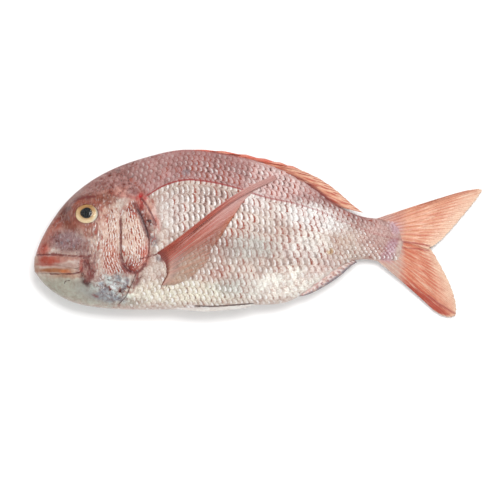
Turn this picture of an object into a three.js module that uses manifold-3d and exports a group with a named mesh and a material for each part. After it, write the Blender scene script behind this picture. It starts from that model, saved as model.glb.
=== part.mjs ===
// A whole raw sea bream, lying on its right side.
//
// The fish is one piece: body, head, gill covers and fins are one closed solid. The two eyeballs sit in
// sockets of their own. Millimetres, +X from snout to tail, +Y from belly to back, +Z up from the surface
// that the fish lies on. Every outline is worked out with x = 0 at the snout and y = 0 level with the mouth,
// and the finished group is shifted so that the origin is the bottom centre of its box.
import * as THREE from "three";
import { mergeVertices } from "three/addons/utils/BufferGeometryUtils.js";
import Module from "manifold-3d";

const wasm = await Module();
wasm.setup();

const { clamp, lerp, smoothstep: rising } = THREE.MathUtils;
const point = (x = 0, y = 0, z = 0) => new THREE.Vector3(x, y, z);

// ---------------------------------------------------------------- driving dimensions

const BODY_LENGTH = 290; // snout to the rounded end of the tail stalk, under the fin rays
const HEAD_LENGTH = 95; // snout to the rear edge of the gill cover
const CONTACT_SOFTNESS = 1.2; // how gently the underside rolls onto the table

const EYE_CENTRE = [41.7, 40.4];
const EYE_RADIUS = 8.7; // of the visible disc
const EYE_BULGE = 2.4; // height of the cornea over its rim
const EYE_OUT = 16.6; // from the middle plane of the body to the rim of the eye
const EYE_TILT = THREE.MathUtils.degToRad(13); // the eye looks a little towards the back
const EYE_TURN = THREE.MathUtils.degToRad(6); // and a little forwards
const SOCKET_GAP = 0.35;

const FIN_MEMBRANE = 0.35; // half of the thickness between the rays
const FIN_RAY = 0.5; // what a ray adds to that
const TAIL_RAYS = 8; // in each lobe
const TAIL_ROOT = 2.4; // half of the thickness where the tail fin leaves the body
const TAIL_FOLD = 0.9; // how far the upper lobe lies over the lower at the fork
const DORSAL_SPINES = 12;
const DORSAL_RAYS = 22; // spines and soft rays together
const ANAL_RAYS = 8;
const PECTORAL_RAYS = 7;
const PELVIC_RAYS = 3;

// ---------------------------------------------------------------- curves of the body

// A smooth curve y(x) through the knots, worked out in the square root of x, so that the snout is round.
function profile(knots) {
  const s = knots.map(([x]) => Math.sqrt(x));
  const y = knots.map(([, value]) => value);
  const slope = (i) => (y[i + 1] - y[i]) / (s[i + 1] - s[i]);
  const last = knots.length - 1;
  const tangent = y.map((_, i) => {
    if (i === 0) return slope(0);
    if (i === last) return slope(last - 1);
    const before = s[i] - s[i - 1];
    const after = s[i + 1] - s[i];
    return (slope(i) * before + slope(i - 1) * after) / (before + after);
  });
  return (x) => {
    const at = Math.sqrt(clamp(x, 0, knots[last][0]));
    let i = 0;
    while (i < last - 1 && at > s[i + 1]) i++;
    const h = s[i + 1] - s[i];
    const t = (at - s[i]) / h;
    return (
      y[i] * (1 + 2 * t) * (1 - t) ** 2 +
      tangent[i] * h * t * (1 - t) ** 2 +
      y[i + 1] * t * t * (3 - 2 * t) +
      tangent[i + 1] * h * t * t * (t - 1)
    );
  };
}

const back = profile([
  [0, -1], [3, 13], [11, 29.5], [28, 52], [52, 70], [84, 83], [120, 90], [160, 84],
  [192, 73.5], [223, 53.5], [240, 44], [262, 36.8], [276, 36.5], [285, 31], [290, 20],
]);
const belly = profile([
  [0, -1], [3, -8.5], [12, -18.5], [32, -29.5], [60, -34], [100, -34.7], [168, -31.5],
  [204, -26], [222, -13.5], [240, -1], [256, 4.4], [268, 3], [276, 3.5], [285, 9], [290, 20],
]);
const halfWidth = profile([
  [0, 0], [3, 5.2], [12, 10.5], [30, 16.5], [60, 21.8], [95, 24], [130, 23.6], [165, 20.8],
  [195, 16.5], [225, 11], [250, 7], [270, 4.4], [285, 2.2], [290, 1],
]);
const axisHeight = profile([
  [0, 21.5], [60, 21.5], [150, 21.2], [190, 19.2], [220, 15.8], [250, 11.5], [275, 8], [300, 5.6], [352, 2.6],
]);

// How thick the body is at a share v of its depth, from 0 at the belly to 1 at the back.
const WIDEST = 0.47;
const BELLY_FULLNESS = 0.5;
const BACK_FULLNESS = 0.66;
function thickness(v) {
  const angle = Math.PI * clamp(v, 0, 1) ** (Math.log(0.5) / Math.log(WIDEST));
  const fullness = lerp(BELLY_FULLNESS, BACK_FULLNESS, rising(v, 0.2, 0.8));
  return Math.max(Math.sin(angle), 0) ** fullness;
}

// Heights under the table are pressed flat, with a soft edge.
function pressed(z) {
  if (z < -CONTACT_SOFTNESS) return 0;
  return z > CONTACT_SOFTNESS ? z : (z + CONTACT_SOFTNESS) ** 2 / (4 * CONTACT_SOFTNESS);
}

// ---------------------------------------------------------------- soft forms on the head

// A swelling over the cheek, and hollows before the eye and along the cheek.
const HEAD_FORMS = [
  { at: [58, 46], size: [14, 12], height: 0.8 },
  { at: [25, 17], size: [11, 9], height: -1.4 },
  { at: [63, 22], size: [8, 24], height: -0.9 },
];
const ORBIT_WIDTH = 9; // of the slope around the eye

// How far the skin stands out from the middle plane at (x, y).
function standOut(x, y) {
  const low = belly(x);
  const share = thickness((y - low) / (back(x) - low));
  const forms = HEAD_FORMS.reduce((sum, { at, size, height }) => {
    const away = ((x - at[0]) / size[0]) ** 2 + ((y - at[1]) / size[1]) ** 2;
    return sum + height * Math.exp(-away);
  }, 0);
  const body = halfWidth(x) * share + forms * Math.min(1, 2 * share);
  const [aside, above] = [x - EYE_CENTRE[0], y - EYE_CENTRE[1]];
  const orbit = EYE_OUT + aside * Math.tan(EYE_TURN) - above * Math.tan(EYE_TILT);
  const away = Math.hypot(aside, 0.85 * above) - EYE_RADIUS;
  return lerp(orbit, body, rising(away, 0.5, ORBIT_WIDTH));
}

// The point of the skin over (x, y), on the upper (side = 1) or lower (side = -1) flank.
function skin(x, y, side, lift = 0) {
  return point(x, y, pressed(axisHeight(x) + side * (standOut(x, y) + lift)));
}

// The same, lifted square to the skin rather than straight out.
function overSkin(x, y, side, lift) {
  const step = 0.5;
  const [across, along] = [
    (standOut(x + step, y) - standOut(x - step, y)) / (2 * step),
    (standOut(x, y + step) - standOut(x, y - step)) / (2 * step),
  ];
  const p = skin(x, y, side).addScaledVector(point(-across, -along, side).normalize(), lift);
  p.z = Math.max(p.z, 0);
  return p;
}

// ---------------------------------------------------------------- solids

function solidOf(positions, indices) {
  const geometry = new THREE.BufferGeometry();
  const flat = positions.flatMap((p) => [p.x, p.y, p.z]);
  geometry.setAttribute("position", new THREE.Float32BufferAttribute(flat, 3));
  geometry.setIndex(indices);
  const merged = mergeVertices(geometry, 1e-3);
  return new wasm.Manifold(
    new wasm.Mesh({
      numProp: 3,
      vertProperties: merged.getAttribute("position").array,
      triVerts: new Uint32Array(merged.index.array),
    }),
  );
}

// The same, with its faces turned outwards whichever way round they were listed.
function outward(positions, indices) {
  const made = solidOf(positions, indices);
  return made.volume() > 0 ? made : solidOf(positions, indices.toReversed());
}

// A solid from one of three's own closed geometries, with the seam and poles joined up.
function solidFrom(geometry) {
  geometry.deleteAttribute("normal");
  geometry.deleteAttribute("uv");
  const merged = mergeVertices(geometry, 1e-3);
  const place = merged.getAttribute("position");
  const points = [];
  for (let i = 0; i < place.count; i++) points.push(point().fromBufferAttribute(place, i));
  return outward(points, [...merged.index.array]);
}

function geometryOf(solid) {
  const mesh = solid.getMesh();
  const geometry = new THREE.BufferGeometry();
  geometry.setAttribute("position", new THREE.BufferAttribute(new Float32Array(mesh.vertProperties), 3));
  geometry.setIndex(new THREE.BufferAttribute(new Uint32Array(mesh.triVerts), 1));
  geometry.computeVertexNormals();
  return geometry;
}

// Joins rings with as many points each into a closed skin. The ends are fans to the points in ends, or else
// to the middle of the end rings.
function loft(rings, ends = []) {
  const points = rings.flat();
  const count = rings[0].length;
  const indices = [];
  for (let i = 0; i < rings.length - 1; i++)
    for (let j = 0; j < count; j++) {
      const a = i * count + j;
      const b = i * count + ((j + 1) % count);
      indices.push(a, b, b + count, a, b + count, a + count);
    }
  for (const [ring, flip] of [[0, true], [rings.length - 1, false]]) {
    const middle = rings[ring].reduce((sum, p) => sum.add(p), new THREE.Vector3()).divideScalar(count);
    points.push(ends[flip ? 0 : 1] ?? middle);
    for (let j = 0; j < count; j++) {
      const a = ring * count + j;
      const b = ring * count + ((j + 1) % count);
      indices.push(...(flip ? [b, a, points.length - 1] : [a, b, points.length - 1]));
    }
  }
  return outward(points, indices);
}

// A thin closed sheet between its upper and its lower face, each a function of s along the root and of t
// from the root out to the rim.
function sheet(columns, rows, upper, lower) {
  const points = [];
  for (const face of [upper, lower])
    for (let i = 0; i <= columns; i++)
      for (let j = 0; j <= rows; j++) points.push(face(i / columns, j / rows));
  const shift = points.length / 2;
  const at = (i, j) => i * (rows + 1) + j;
  const indices = [];
  for (let i = 0; i < columns; i++)
    for (let j = 0; j < rows; j++) {
      const [a, b, c, d] = [at(i, j), at(i + 1, j), at(i + 1, j + 1), at(i, j + 1)];
      indices.push(a, b, c, a, c, d);
      indices.push(a + shift, c + shift, b + shift, a + shift, d + shift, c + shift);
    }
  const rim = [];
  for (let i = 0; i < columns; i++) rim.push(at(i, 0));
  for (let j = 0; j < rows; j++) rim.push(at(columns, j));
  for (let i = columns; i > 0; i--) rim.push(at(i, rows));
  for (let j = rows; j > 0; j--) rim.push(at(0, j));
  rim.forEach((a, k) => {
    const b = rim[(k + 1) % rim.length];
    indices.push(b, a, a + shift, b, a + shift, b + shift);
  });
  return outward(points, indices);
}

// A sheet around a middle surface, half(s, t) thick to each side of it along Z.
function freeSheet(columns, rows, middle, half) {
  const face = (sign) => (s, t) => {
    const p = middle(s, t);
    p.z = Math.max(p.z + sign * half(s, t), sign > 0 ? 2 * FIN_MEMBRANE : 0);
    return p;
  };
  return sheet(columns, rows, face(1), face(-1));
}

// ---------------------------------------------------------------- body

const FLANK_POINTS = 20; // from back to belly, on each side
const EDGE_CLOSENESS = 0.7; // how much closer they lie at the back and belly, where the skin turns round
const HEAD_CLOSENESS = 1.45; // and how much closer the rings lie at the snout
const HEAD_RINGS = 24;
const TRUNK_RINGS = 20;
const STALK_RINGS = 9;
const TRUNK_END = 246;

function ringPlaces() {
  const places = [];
  for (let i = 1; i <= HEAD_RINGS; i++) places.push(HEAD_LENGTH * (i / HEAD_RINGS) ** HEAD_CLOSENESS);
  for (let i = 1; i <= TRUNK_RINGS; i++) places.push(lerp(HEAD_LENGTH, TRUNK_END, i / TRUNK_RINGS));
  for (let i = 1; i < STALK_RINGS; i++)
    places.push(lerp(TRUNK_END, BODY_LENGTH, Math.sin((Math.PI * i) / (2 * STALK_RINGS))));
  return places;
}

function bodySolid() {
  const rings = ringPlaces().map((x) => {
    const ring = [];
    const low = belly(x);
    const depth = back(x) - low;
    for (let k = 0; k < 2 * FLANK_POINTS; k++) {
      const share = 1 - Math.abs(1 - k / FLANK_POINTS);
      const round = (1 - Math.cos(Math.PI * share)) / 2;
      const v = 1 - lerp(share, round, EDGE_CLOSENESS);
      ring.push(skin(x, low + depth * v, k <= FLANK_POINTS ? 1 : -1));
    }
    return ring;
  });
  return loft(rings, [0, BODY_LENGTH].map((x) => point(x, back(x), axisHeight(x))));
}

// ---------------------------------------------------------------- plates of the head

function curve(knots) {
  const points = knots.map(([x, y]) => point(x, y));
  return new THREE.CatmullRomCurve3(points, false, "centripetal");
}

// A plate that rises out of the skin at its front line and ends in a free edge at its rear line.
const PLATE_START = 0.5; // how deep under the skin its upper face begins
const PLATE_SINK = 1.6; // and its lower face lies
function plate({ front, rear, rise, columns, rows }, side) {
  const [from, to] = [curve(front), curve(rear)];
  const face = (lift) => (s, t) => {
    const p = from.getPoint(s).lerp(to.getPoint(s), t);
    return overSkin(p.x, p.y, side, lift(s, t));
  };
  const ends = (s) => rising(s, 0, 0.2) * rising(1 - s, 0, 0.15);
  const top = (s, t) => lerp(-PLATE_START, rise, rising(t, 0, 0.8) * ends(s));
  return sheet(columns, rows, face(top), face(() => -PLATE_SINK));
}

const PLATES = {
  shoulder: {
    front: [[80, 53], [80.5, 46], [83, 38], [86, 30], [89, 24]],
    rear: [[84.5, 54], [89, 47.5], [92.8, 39], [96, 30.6], [93.5, 25]],
    rise: 0.9, columns: 7, rows: 2,
  },
  gillCover: {
    front: [[71, 53], [69, 40], [68.5, 24], [68.5, 8], [71, 1], [75, -3.5]],
    rear: [[79, 53], [82, 44], [86, 33], [90, 21], [88.6, 5], [78.5, -5.4]],
    rise: 1.3, columns: 12, rows: 4,
  },
  cheek: {
    front: [[54, 50], [56, 38], [54, 22], [50, 6], [50, -8], [54, -20], [56, -29.5]],
    rear: [[66.5, 49], [68, 38], [67.8, 22], [68.4, 7], [76.4, -6.4], [74.6, -18], [66.2, -29.8]],
    rise: 1.7, columns: 14, rows: 4,
  },
};

// The lips are two rolls that run from one corner of the mouth round the snout to the other.
const MOUTH_CORNER = 38;
const LIPS = [
  { middle: (x) => 3.9 - 0.075 * x, half: (x) => 4 + 0.035 * x, sunk: 0.2, thick: 1.9 },
  { middle: (x) => -3.7 - 0.062 * x, half: (x) => 3.5 - 0.072 * x, sunk: 0.4, thick: 1.7 },
];
const LIP_STATIONS = [MOUTH_CORNER, 33, 25, 17, 10, 5, 2.4];
const LIP_FRONT = 1.2;
const LIP_SIDES = 10;
function lip({ middle, half, sunk, thick }) {
  const side = (sign) => LIP_STATIONS.map((x) => skin(x, middle(x), sign, -sunk));
  const path = [...side(1), point(LIP_FRONT, middle(0), axisHeight(0)), ...side(-1).toReversed()];
  const rings = path.map((p, i) => {
    const [before, after] = [path[Math.max(i - 1, 0)], path[Math.min(i + 1, path.length - 1)]];
    const out = point(after.z - before.z, 0, before.x - after.x).normalize();
    const close = before === p || after === p ? 0.35 : 1; // the corners of the mouth taper
    const depth = thick * Math.min(close, lerp(0.62, 1, rising(p.x, 1, 12)));
    const ring = [];
    for (let k = 0; k < LIP_SIDES; k++) {
      const turn = (2 * Math.PI * k) / LIP_SIDES;
      const q = p.clone().addScaledVector(out, depth * Math.cos(turn));
      q.y += close * half(p.x) * Math.sin(turn);
      q.z = Math.max(q.z, 0);
      ring.push(q);
    }
    return ring;
  });
  return loft(rings);
}

// The nostrils are slanting pits.
const NOSTRILS = [
  { at: [20.6, 35.2], long: 3.2, wide: 1.3 },
  { at: [15.8, 30], long: 1.6, wide: 1.1 },
];
function nostril({ at: [x, y], long, wide }, side) {
  const pit = new THREE.SphereGeometry(wide, 10, 6).scale(long / wide, 1, 1).rotateZ(Math.PI / 4);
  const centre = skin(x, y, side);
  return solidFrom(pit.translate(centre.x, centre.y, centre.z));
}

// ---------------------------------------------------------------- fins

// Half the thickness of a fin: a ridge on each ray, thick at the root and thin at the rim.
function rayed(rays, root) {
  return (s, t) => {
    const ridge = Math.abs(Math.cos(Math.PI * rays * s));
    return lerp(root, FIN_MEMBRANE + FIN_RAY * ridge * (1 - 0.6 * t), rising(t, 0, 0.45));
  };
}

// A fin whose rays run from a root curve to a rim curve, each bowed by bow across its length.
function rayPlace(root, rim, bow) {
  return (s, t) => {
    const from = root.getPoint(s);
    const to = rim.getPoint(s);
    const across = point(from.y - to.y, to.x - from.x);
    return from.lerp(to, t).addScaledVector(across, bow(s) * 4 * t * (1 - t));
  };
}

const TAIL_ROOT_TOP = [[268, 36.4], [276, 33], [281, 27], [283, 19.5]];
const TAIL_ROOT_LOWER = [[283, 22], [281, 13], [276, 7], [268, 3.4]];
const TAIL_RIM_UPPER = [
  [331, 56.6], [341.5, 59], [350.6, 59.2], [347, 52.5], [340, 43.7], [332, 34.3], [324.5, 25.7], [316.7, 18],
  [308, 12.4],
];
const TAIL_RIM_LOWER = [
  [308, 16], [315, 4.7], [320.6, -5.5], [325, -14.5], [328.5, -24], [330.4, -34], [329.4, -40.4],
  [322, -40.9], [313.6, -36.6],
];

function tailLobe(root, rim, fold) {
  const flat = rayPlace(curve(root), curve(rim), fold.bow);
  const place = (s, t) => {
    const p = flat(s, t);
    p.z = axisHeight(p.x) + fold.lift(s, t);
    return p;
  };
  return freeSheet(2 * TAIL_RAYS, 6, place, rayed(TAIL_RAYS, TAIL_ROOT));
}

function tailFin() {
  const upper = { bow: () => 0.005, lift: (s, t) => TAIL_FOLD * s * t };
  const lower = { bow: () => 0.008, lift: (s, t) => TAIL_FOLD * t * (s - 1 + 0.8 * Math.sin(5.5 * s)) };
  return [tailLobe(TAIL_ROOT_TOP, TAIL_RIM_UPPER, upper), tailLobe(TAIL_ROOT_LOWER, TAIL_RIM_LOWER, lower)];
}

// A fin folded along the edge of the body. Its root line lies inside the edge, and it thins from there to the
// rim, with a ridge on each ray.
function edgeFin({ from, to, edge, rim, tooth, wave, rays, columns }) {
  const outer = curve(rim);
  const middle = (s, t) => {
    const x = lerp(from, to, s);
    const tip = outer.getPoint(s);
    tip.y += tooth(s) * rising(s, 0, 0.25) * rising(1 - s, 0, 0.2);
    const p = point(x, edge(x)).lerp(tip, t);
    p.z = axisHeight(p.x) + wave(s) * t;
    return p;
  };
  const half = (s, t) => lerp(1.5, 0.45, t) * (0.8 + 0.4 * Math.abs(Math.cos(Math.PI * rays * s)));
  return freeSheet(columns, 2, middle, half);
}

const DORSAL = {
  from: 104, to: 234.5, rays: DORSAL_RAYS, columns: 36,
  edge: (x) => back(x) - 3,
  rim: [
    [109, 88.4], [129.5, 89.6], [152.9, 87.2], [174, 83.6], [190.3, 79.6], [201.2, 76.4], [211.4, 72.4],
    [223.1, 66.8], [233.2, 60], [241, 53.6], [248, 47.4], [257, 40.8],
  ],
  tooth: (s) => (s < DORSAL_SPINES / DORSAL_RAYS ? 1.6 : 0.5) * (1 - ((s * DORSAL_RAYS) % 1)),
  wave: (s) => 0.5 * Math.sin(5 * Math.PI * s),
};
const ANAL = {
  from: 203, to: 246.5, rays: ANAL_RAYS, columns: 12,
  edge: (x) => belly(x) + 2.5,
  rim: [[203, -25], [212, -23.6], [219, -20.8], [231, -14], [240, -7.6], [247.5, -0.8], [252.5, 2.4]],
  tooth: () => 0,
  wave: () => 1.2,
};

// The pectoral fin lies folded back along the flank, over the skin.
const PECTORAL_ROOT = [[99, 8], [100, 1], [101, -8], [103, -16.5]];
const PECTORAL_RIM = [
  [188, 68], [180, 62], [171, 54], [162.5, 43], [157, 29.5], [149, 20.5], [141, 11], [132, 0], [118, -12],
  [109, -16.4],
];
const PECTORAL_SINK = 0.8; // how deep its lower face lies in the skin
function pectoralFin(side) {
  const flat = rayPlace(curve(PECTORAL_ROOT), curve(PECTORAL_RIM), (s) => 0.035 * (1 - s));
  const face = (lift) => (s, t) => {
    const p = flat(s, t);
    return skin(p.x, p.y, side, lift(s, t));
  };
  const top = (s, t) => {
    const arch = 0.7 + 1.3 * Math.sin(Math.PI * Math.min(1, 0.2 + t));
    const ray = FIN_RAY * Math.abs(Math.cos(PECTORAL_RAYS * Math.PI * s));
    return lerp(-0.4, arch + ray, rising(t, 0, 0.15));
  };
  return sheet(2 * PECTORAL_RAYS, side > 0 ? 8 : 5, face(top), face(() => -PECTORAL_SINK));
}

// The pelvic fins are folded back along the belly, one each side of its keel.
const PELVIC_RIM = [[173, -30.2], [168, -32.6], [150, -35], [132, -36.2], [116, -35]];
const PELVIC_APART = 5; // from the keel to each
function pelvicFin(side) {
  const rim = curve(PELVIC_RIM);
  const middle = (s, t) => {
    const p = point(107 + 5 * s, belly(109) + 3).lerp(rim.getPoint(s), t);
    p.z = axisHeight(p.x) + side * lerp(PELVIC_APART, 0.7 * PELVIC_APART, t);
    return p;
  };
  return freeSheet(2 * PELVIC_RAYS, 4, middle, rayed(PELVIC_RAYS, 1.5));
}

// ---------------------------------------------------------------- eyes

// An eyeball: a low clear dome over a rim, and a round back. The lathe's axis is the way the eye looks.
const EYE_RIM = 2; // height of the straight rim between the dome and the back
const EYE_DEPTH = 6.5; // of the round back
const EYE_STEPS = 4;
const EYE_SIDES = 24;
function eyeGeometry(grow) {
  const radius = EYE_RADIUS + grow;
  const outline = [];
  for (let i = 0; i <= EYE_STEPS; i++) {
    const turn = (Math.PI / 2) * (i / EYE_STEPS);
    outline.push(new THREE.Vector2(radius * Math.sin(turn), -EYE_RIM - (EYE_DEPTH + grow) * Math.cos(turn)));
  }
  for (let i = EYE_STEPS; i >= 0; i--) {
    const share = i / EYE_STEPS;
    outline.push(new THREE.Vector2(radius * share, grow + (EYE_BULGE + grow) * (1 - share * share)));
  }
  return new THREE.LatheGeometry(outline, EYE_SIDES);
}

function eyePose(side) {
  const rim = skin(...EYE_CENTRE, side, -0.5);
  const looks = point(-Math.tan(EYE_TURN), Math.tan(EYE_TILT), side).normalize();
  const turn = new THREE.Quaternion().setFromUnitVectors(point(0, 1, 0), looks);
  return { rim, turn };
}

function socket(side) {
  const { rim, turn } = eyePose(side);
  return solidFrom(eyeGeometry(SOCKET_GAP).applyQuaternion(turn).translate(rim.x, rim.y, rim.z));
}

const EYE_FINISH = { color: 0xd9bd72, roughness: 0.15, metalness: 0 };

function eyeMesh(name, side) {
  const { rim, turn } = eyePose(side);
  const mesh = new THREE.Mesh(eyeGeometry(0), new THREE.MeshStandardMaterial(EYE_FINISH));
  mesh.name = name;
  mesh.position.copy(rim);
  mesh.quaternion.copy(turn);
  return mesh;
}

// ---------------------------------------------------------------- the whole fish

const SKIN_FINISH = { color: 0xd9b3a8, roughness: 0.35, metalness: 0 };

function fishMesh() {
  const both = (make) => [make(1), make(-1)];
  const plates = Object.values(PLATES).flatMap((form) => both((side) => plate(form, side)));
  const fins = [...tailFin(), edgeFin(DORSAL), edgeFin(ANAL), ...both(pectoralFin), ...both(pelvicFin)];
  const added = [...plates, ...LIPS.map(lip), ...fins];
  const cut = [...both(socket), ...NOSTRILS.flatMap((form) => both((side) => nostril(form, side)))];
  const whole = wasm.Manifold.union([bodySolid(), ...added]);
  const carved = cut.reduce((solid, tool) => solid.subtract(tool), whole);
  const largest = carved.decompose().sort((a, b) => b.volume() - a.volume())[0];
  const mesh = new THREE.Mesh(geometryOf(largest), new THREE.MeshStandardMaterial(SKIN_FINISH));
  mesh.name = "fish";
  return mesh;
}

const fish = new THREE.Group();
fish.add(fishMesh(), eyeMesh("eye_upper", 1), eyeMesh("eye_lower", -1));

const box = new THREE.Box3().setFromObject(fish, true);
const centre = box.getCenter(new THREE.Vector3());
fish.position.set(-centre.x, -centre.y, -box.min.z);

export default fish;
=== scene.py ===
"""A whole raw sea bream, lying on its side on a pale table.

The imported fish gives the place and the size. Skin, gill covers, lips, eyes, scales and fins are modelled over
it from the same outlines. Shapes are worked out in millimetres, with x = 0 at the snout, y = 0 level with the
mouth and z = 0 on the table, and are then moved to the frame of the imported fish, in metres.
"""

import bpy
import numpy as np
from bpy.props import FloatProperty, FloatVectorProperty, IntProperty, PointerProperty
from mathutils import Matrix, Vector


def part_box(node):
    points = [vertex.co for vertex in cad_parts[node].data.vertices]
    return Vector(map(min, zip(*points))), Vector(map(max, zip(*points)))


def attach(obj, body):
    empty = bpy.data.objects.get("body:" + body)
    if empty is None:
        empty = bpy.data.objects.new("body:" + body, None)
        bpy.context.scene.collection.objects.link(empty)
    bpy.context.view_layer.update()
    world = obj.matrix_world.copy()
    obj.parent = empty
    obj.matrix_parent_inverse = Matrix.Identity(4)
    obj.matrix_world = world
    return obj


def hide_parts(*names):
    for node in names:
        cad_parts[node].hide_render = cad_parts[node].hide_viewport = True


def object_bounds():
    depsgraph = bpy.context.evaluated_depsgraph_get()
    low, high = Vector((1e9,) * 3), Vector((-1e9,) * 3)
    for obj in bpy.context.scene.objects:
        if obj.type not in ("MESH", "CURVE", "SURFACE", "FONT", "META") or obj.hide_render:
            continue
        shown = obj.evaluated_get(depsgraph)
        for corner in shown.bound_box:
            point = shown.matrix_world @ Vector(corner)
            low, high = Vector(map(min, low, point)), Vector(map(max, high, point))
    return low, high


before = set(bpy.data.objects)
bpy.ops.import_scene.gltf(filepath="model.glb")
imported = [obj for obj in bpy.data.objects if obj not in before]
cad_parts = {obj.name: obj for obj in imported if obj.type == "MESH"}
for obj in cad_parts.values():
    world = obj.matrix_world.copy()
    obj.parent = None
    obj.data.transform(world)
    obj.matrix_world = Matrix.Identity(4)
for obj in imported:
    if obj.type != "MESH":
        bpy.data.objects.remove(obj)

bl_info = {
    "name": "Sea Bream",
    "version": (1, 0, 0),
    "blender": (4, 5, 0),
    "location": "View3D > Sidebar > Sea Bream",
    "description": "Models a whole raw sea bream with its skin, scales, fins and eyes",
    "category": "Object",
}

CAD_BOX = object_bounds()
BOX_LOW, BOX_HIGH = np.array(CAD_BOX)
FISH_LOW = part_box("fish")[0]
BODY = "root"
MM = 0.001
LOWEST_FIN = 41.3134  # how far the lower tip of the tail lies under the level of the mouth, in mm
# Where the snout's x = 0 and y = 0 lie, on the table.
ORIGIN = np.array([FISH_LOW.x, FISH_LOW.y + LOWEST_FIN * MM, 0.0])
SIDES = {"upper": 1, "lower": -1}
# The colours are given as they look on the upper flank, where the studio light is this much stronger than
# plain white.
LIGHT_LEVEL = 1.5

# ---------------------------------------------------------------- sizes and colours


def linear(red, green, blue):
    """A screen colour from 0 to 255 as Blender's linear colour."""
    share = np.array([red, green, blue]) / 255
    return tuple(np.where(share <= 0.04045, share / 12.92, ((share + 0.055) / 1.055) ** 2.4).tolist())


def length(name, description, millimetres):
    """A length that the user can change, given in mm."""
    return FloatProperty(
        name=name, description=description, default=millimetres * MM, min=0, unit="LENGTH", precision=5
    )


def colour(name, description, red, green, blue):
    """A colour that the user can change, given as it looks in the studio light."""
    return FloatVectorProperty(
        name=name,
        description=description,
        default=tuple(part / LIGHT_LEVEL for part in linear(red, green, blue)),
        min=0,
        max=1,
        size=3,
        subtype="COLOR",
    )


class BreamSizes(bpy.types.PropertyGroup):
    """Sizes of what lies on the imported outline."""

    scale_pitch: length("Scale pitch", "From one scale to the next along a row", 4.25)
    scale_length: length("Scale length", "From the buried front of a scale to its free edge", 7.4)
    scale_lift: length("Scale lift", "How far the free edge of a scale stands over the skin", 0.17)
    cheek_pitch: length("Cheek scale pitch", "From one cheek scale to the next", 2.05)
    crease_depth: length("Crease depth", "Depth of the lines in the skin", 0.5)
    lip_thickness: length("Lip thickness", "How far the lips stand out of the snout", 1.9)
    fin_ray: length("Fin ray height", "How far a ray stands over the fin's membrane", 0.4)
    cornea_bulge: length("Cornea bulge", "Height of the clear dome of the eye over its rim", 2.05)
    tail_rays: IntProperty(
        name="Tail rays", description="Rays in each lobe of the tail", default=10, min=4, max=20
    )


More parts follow.
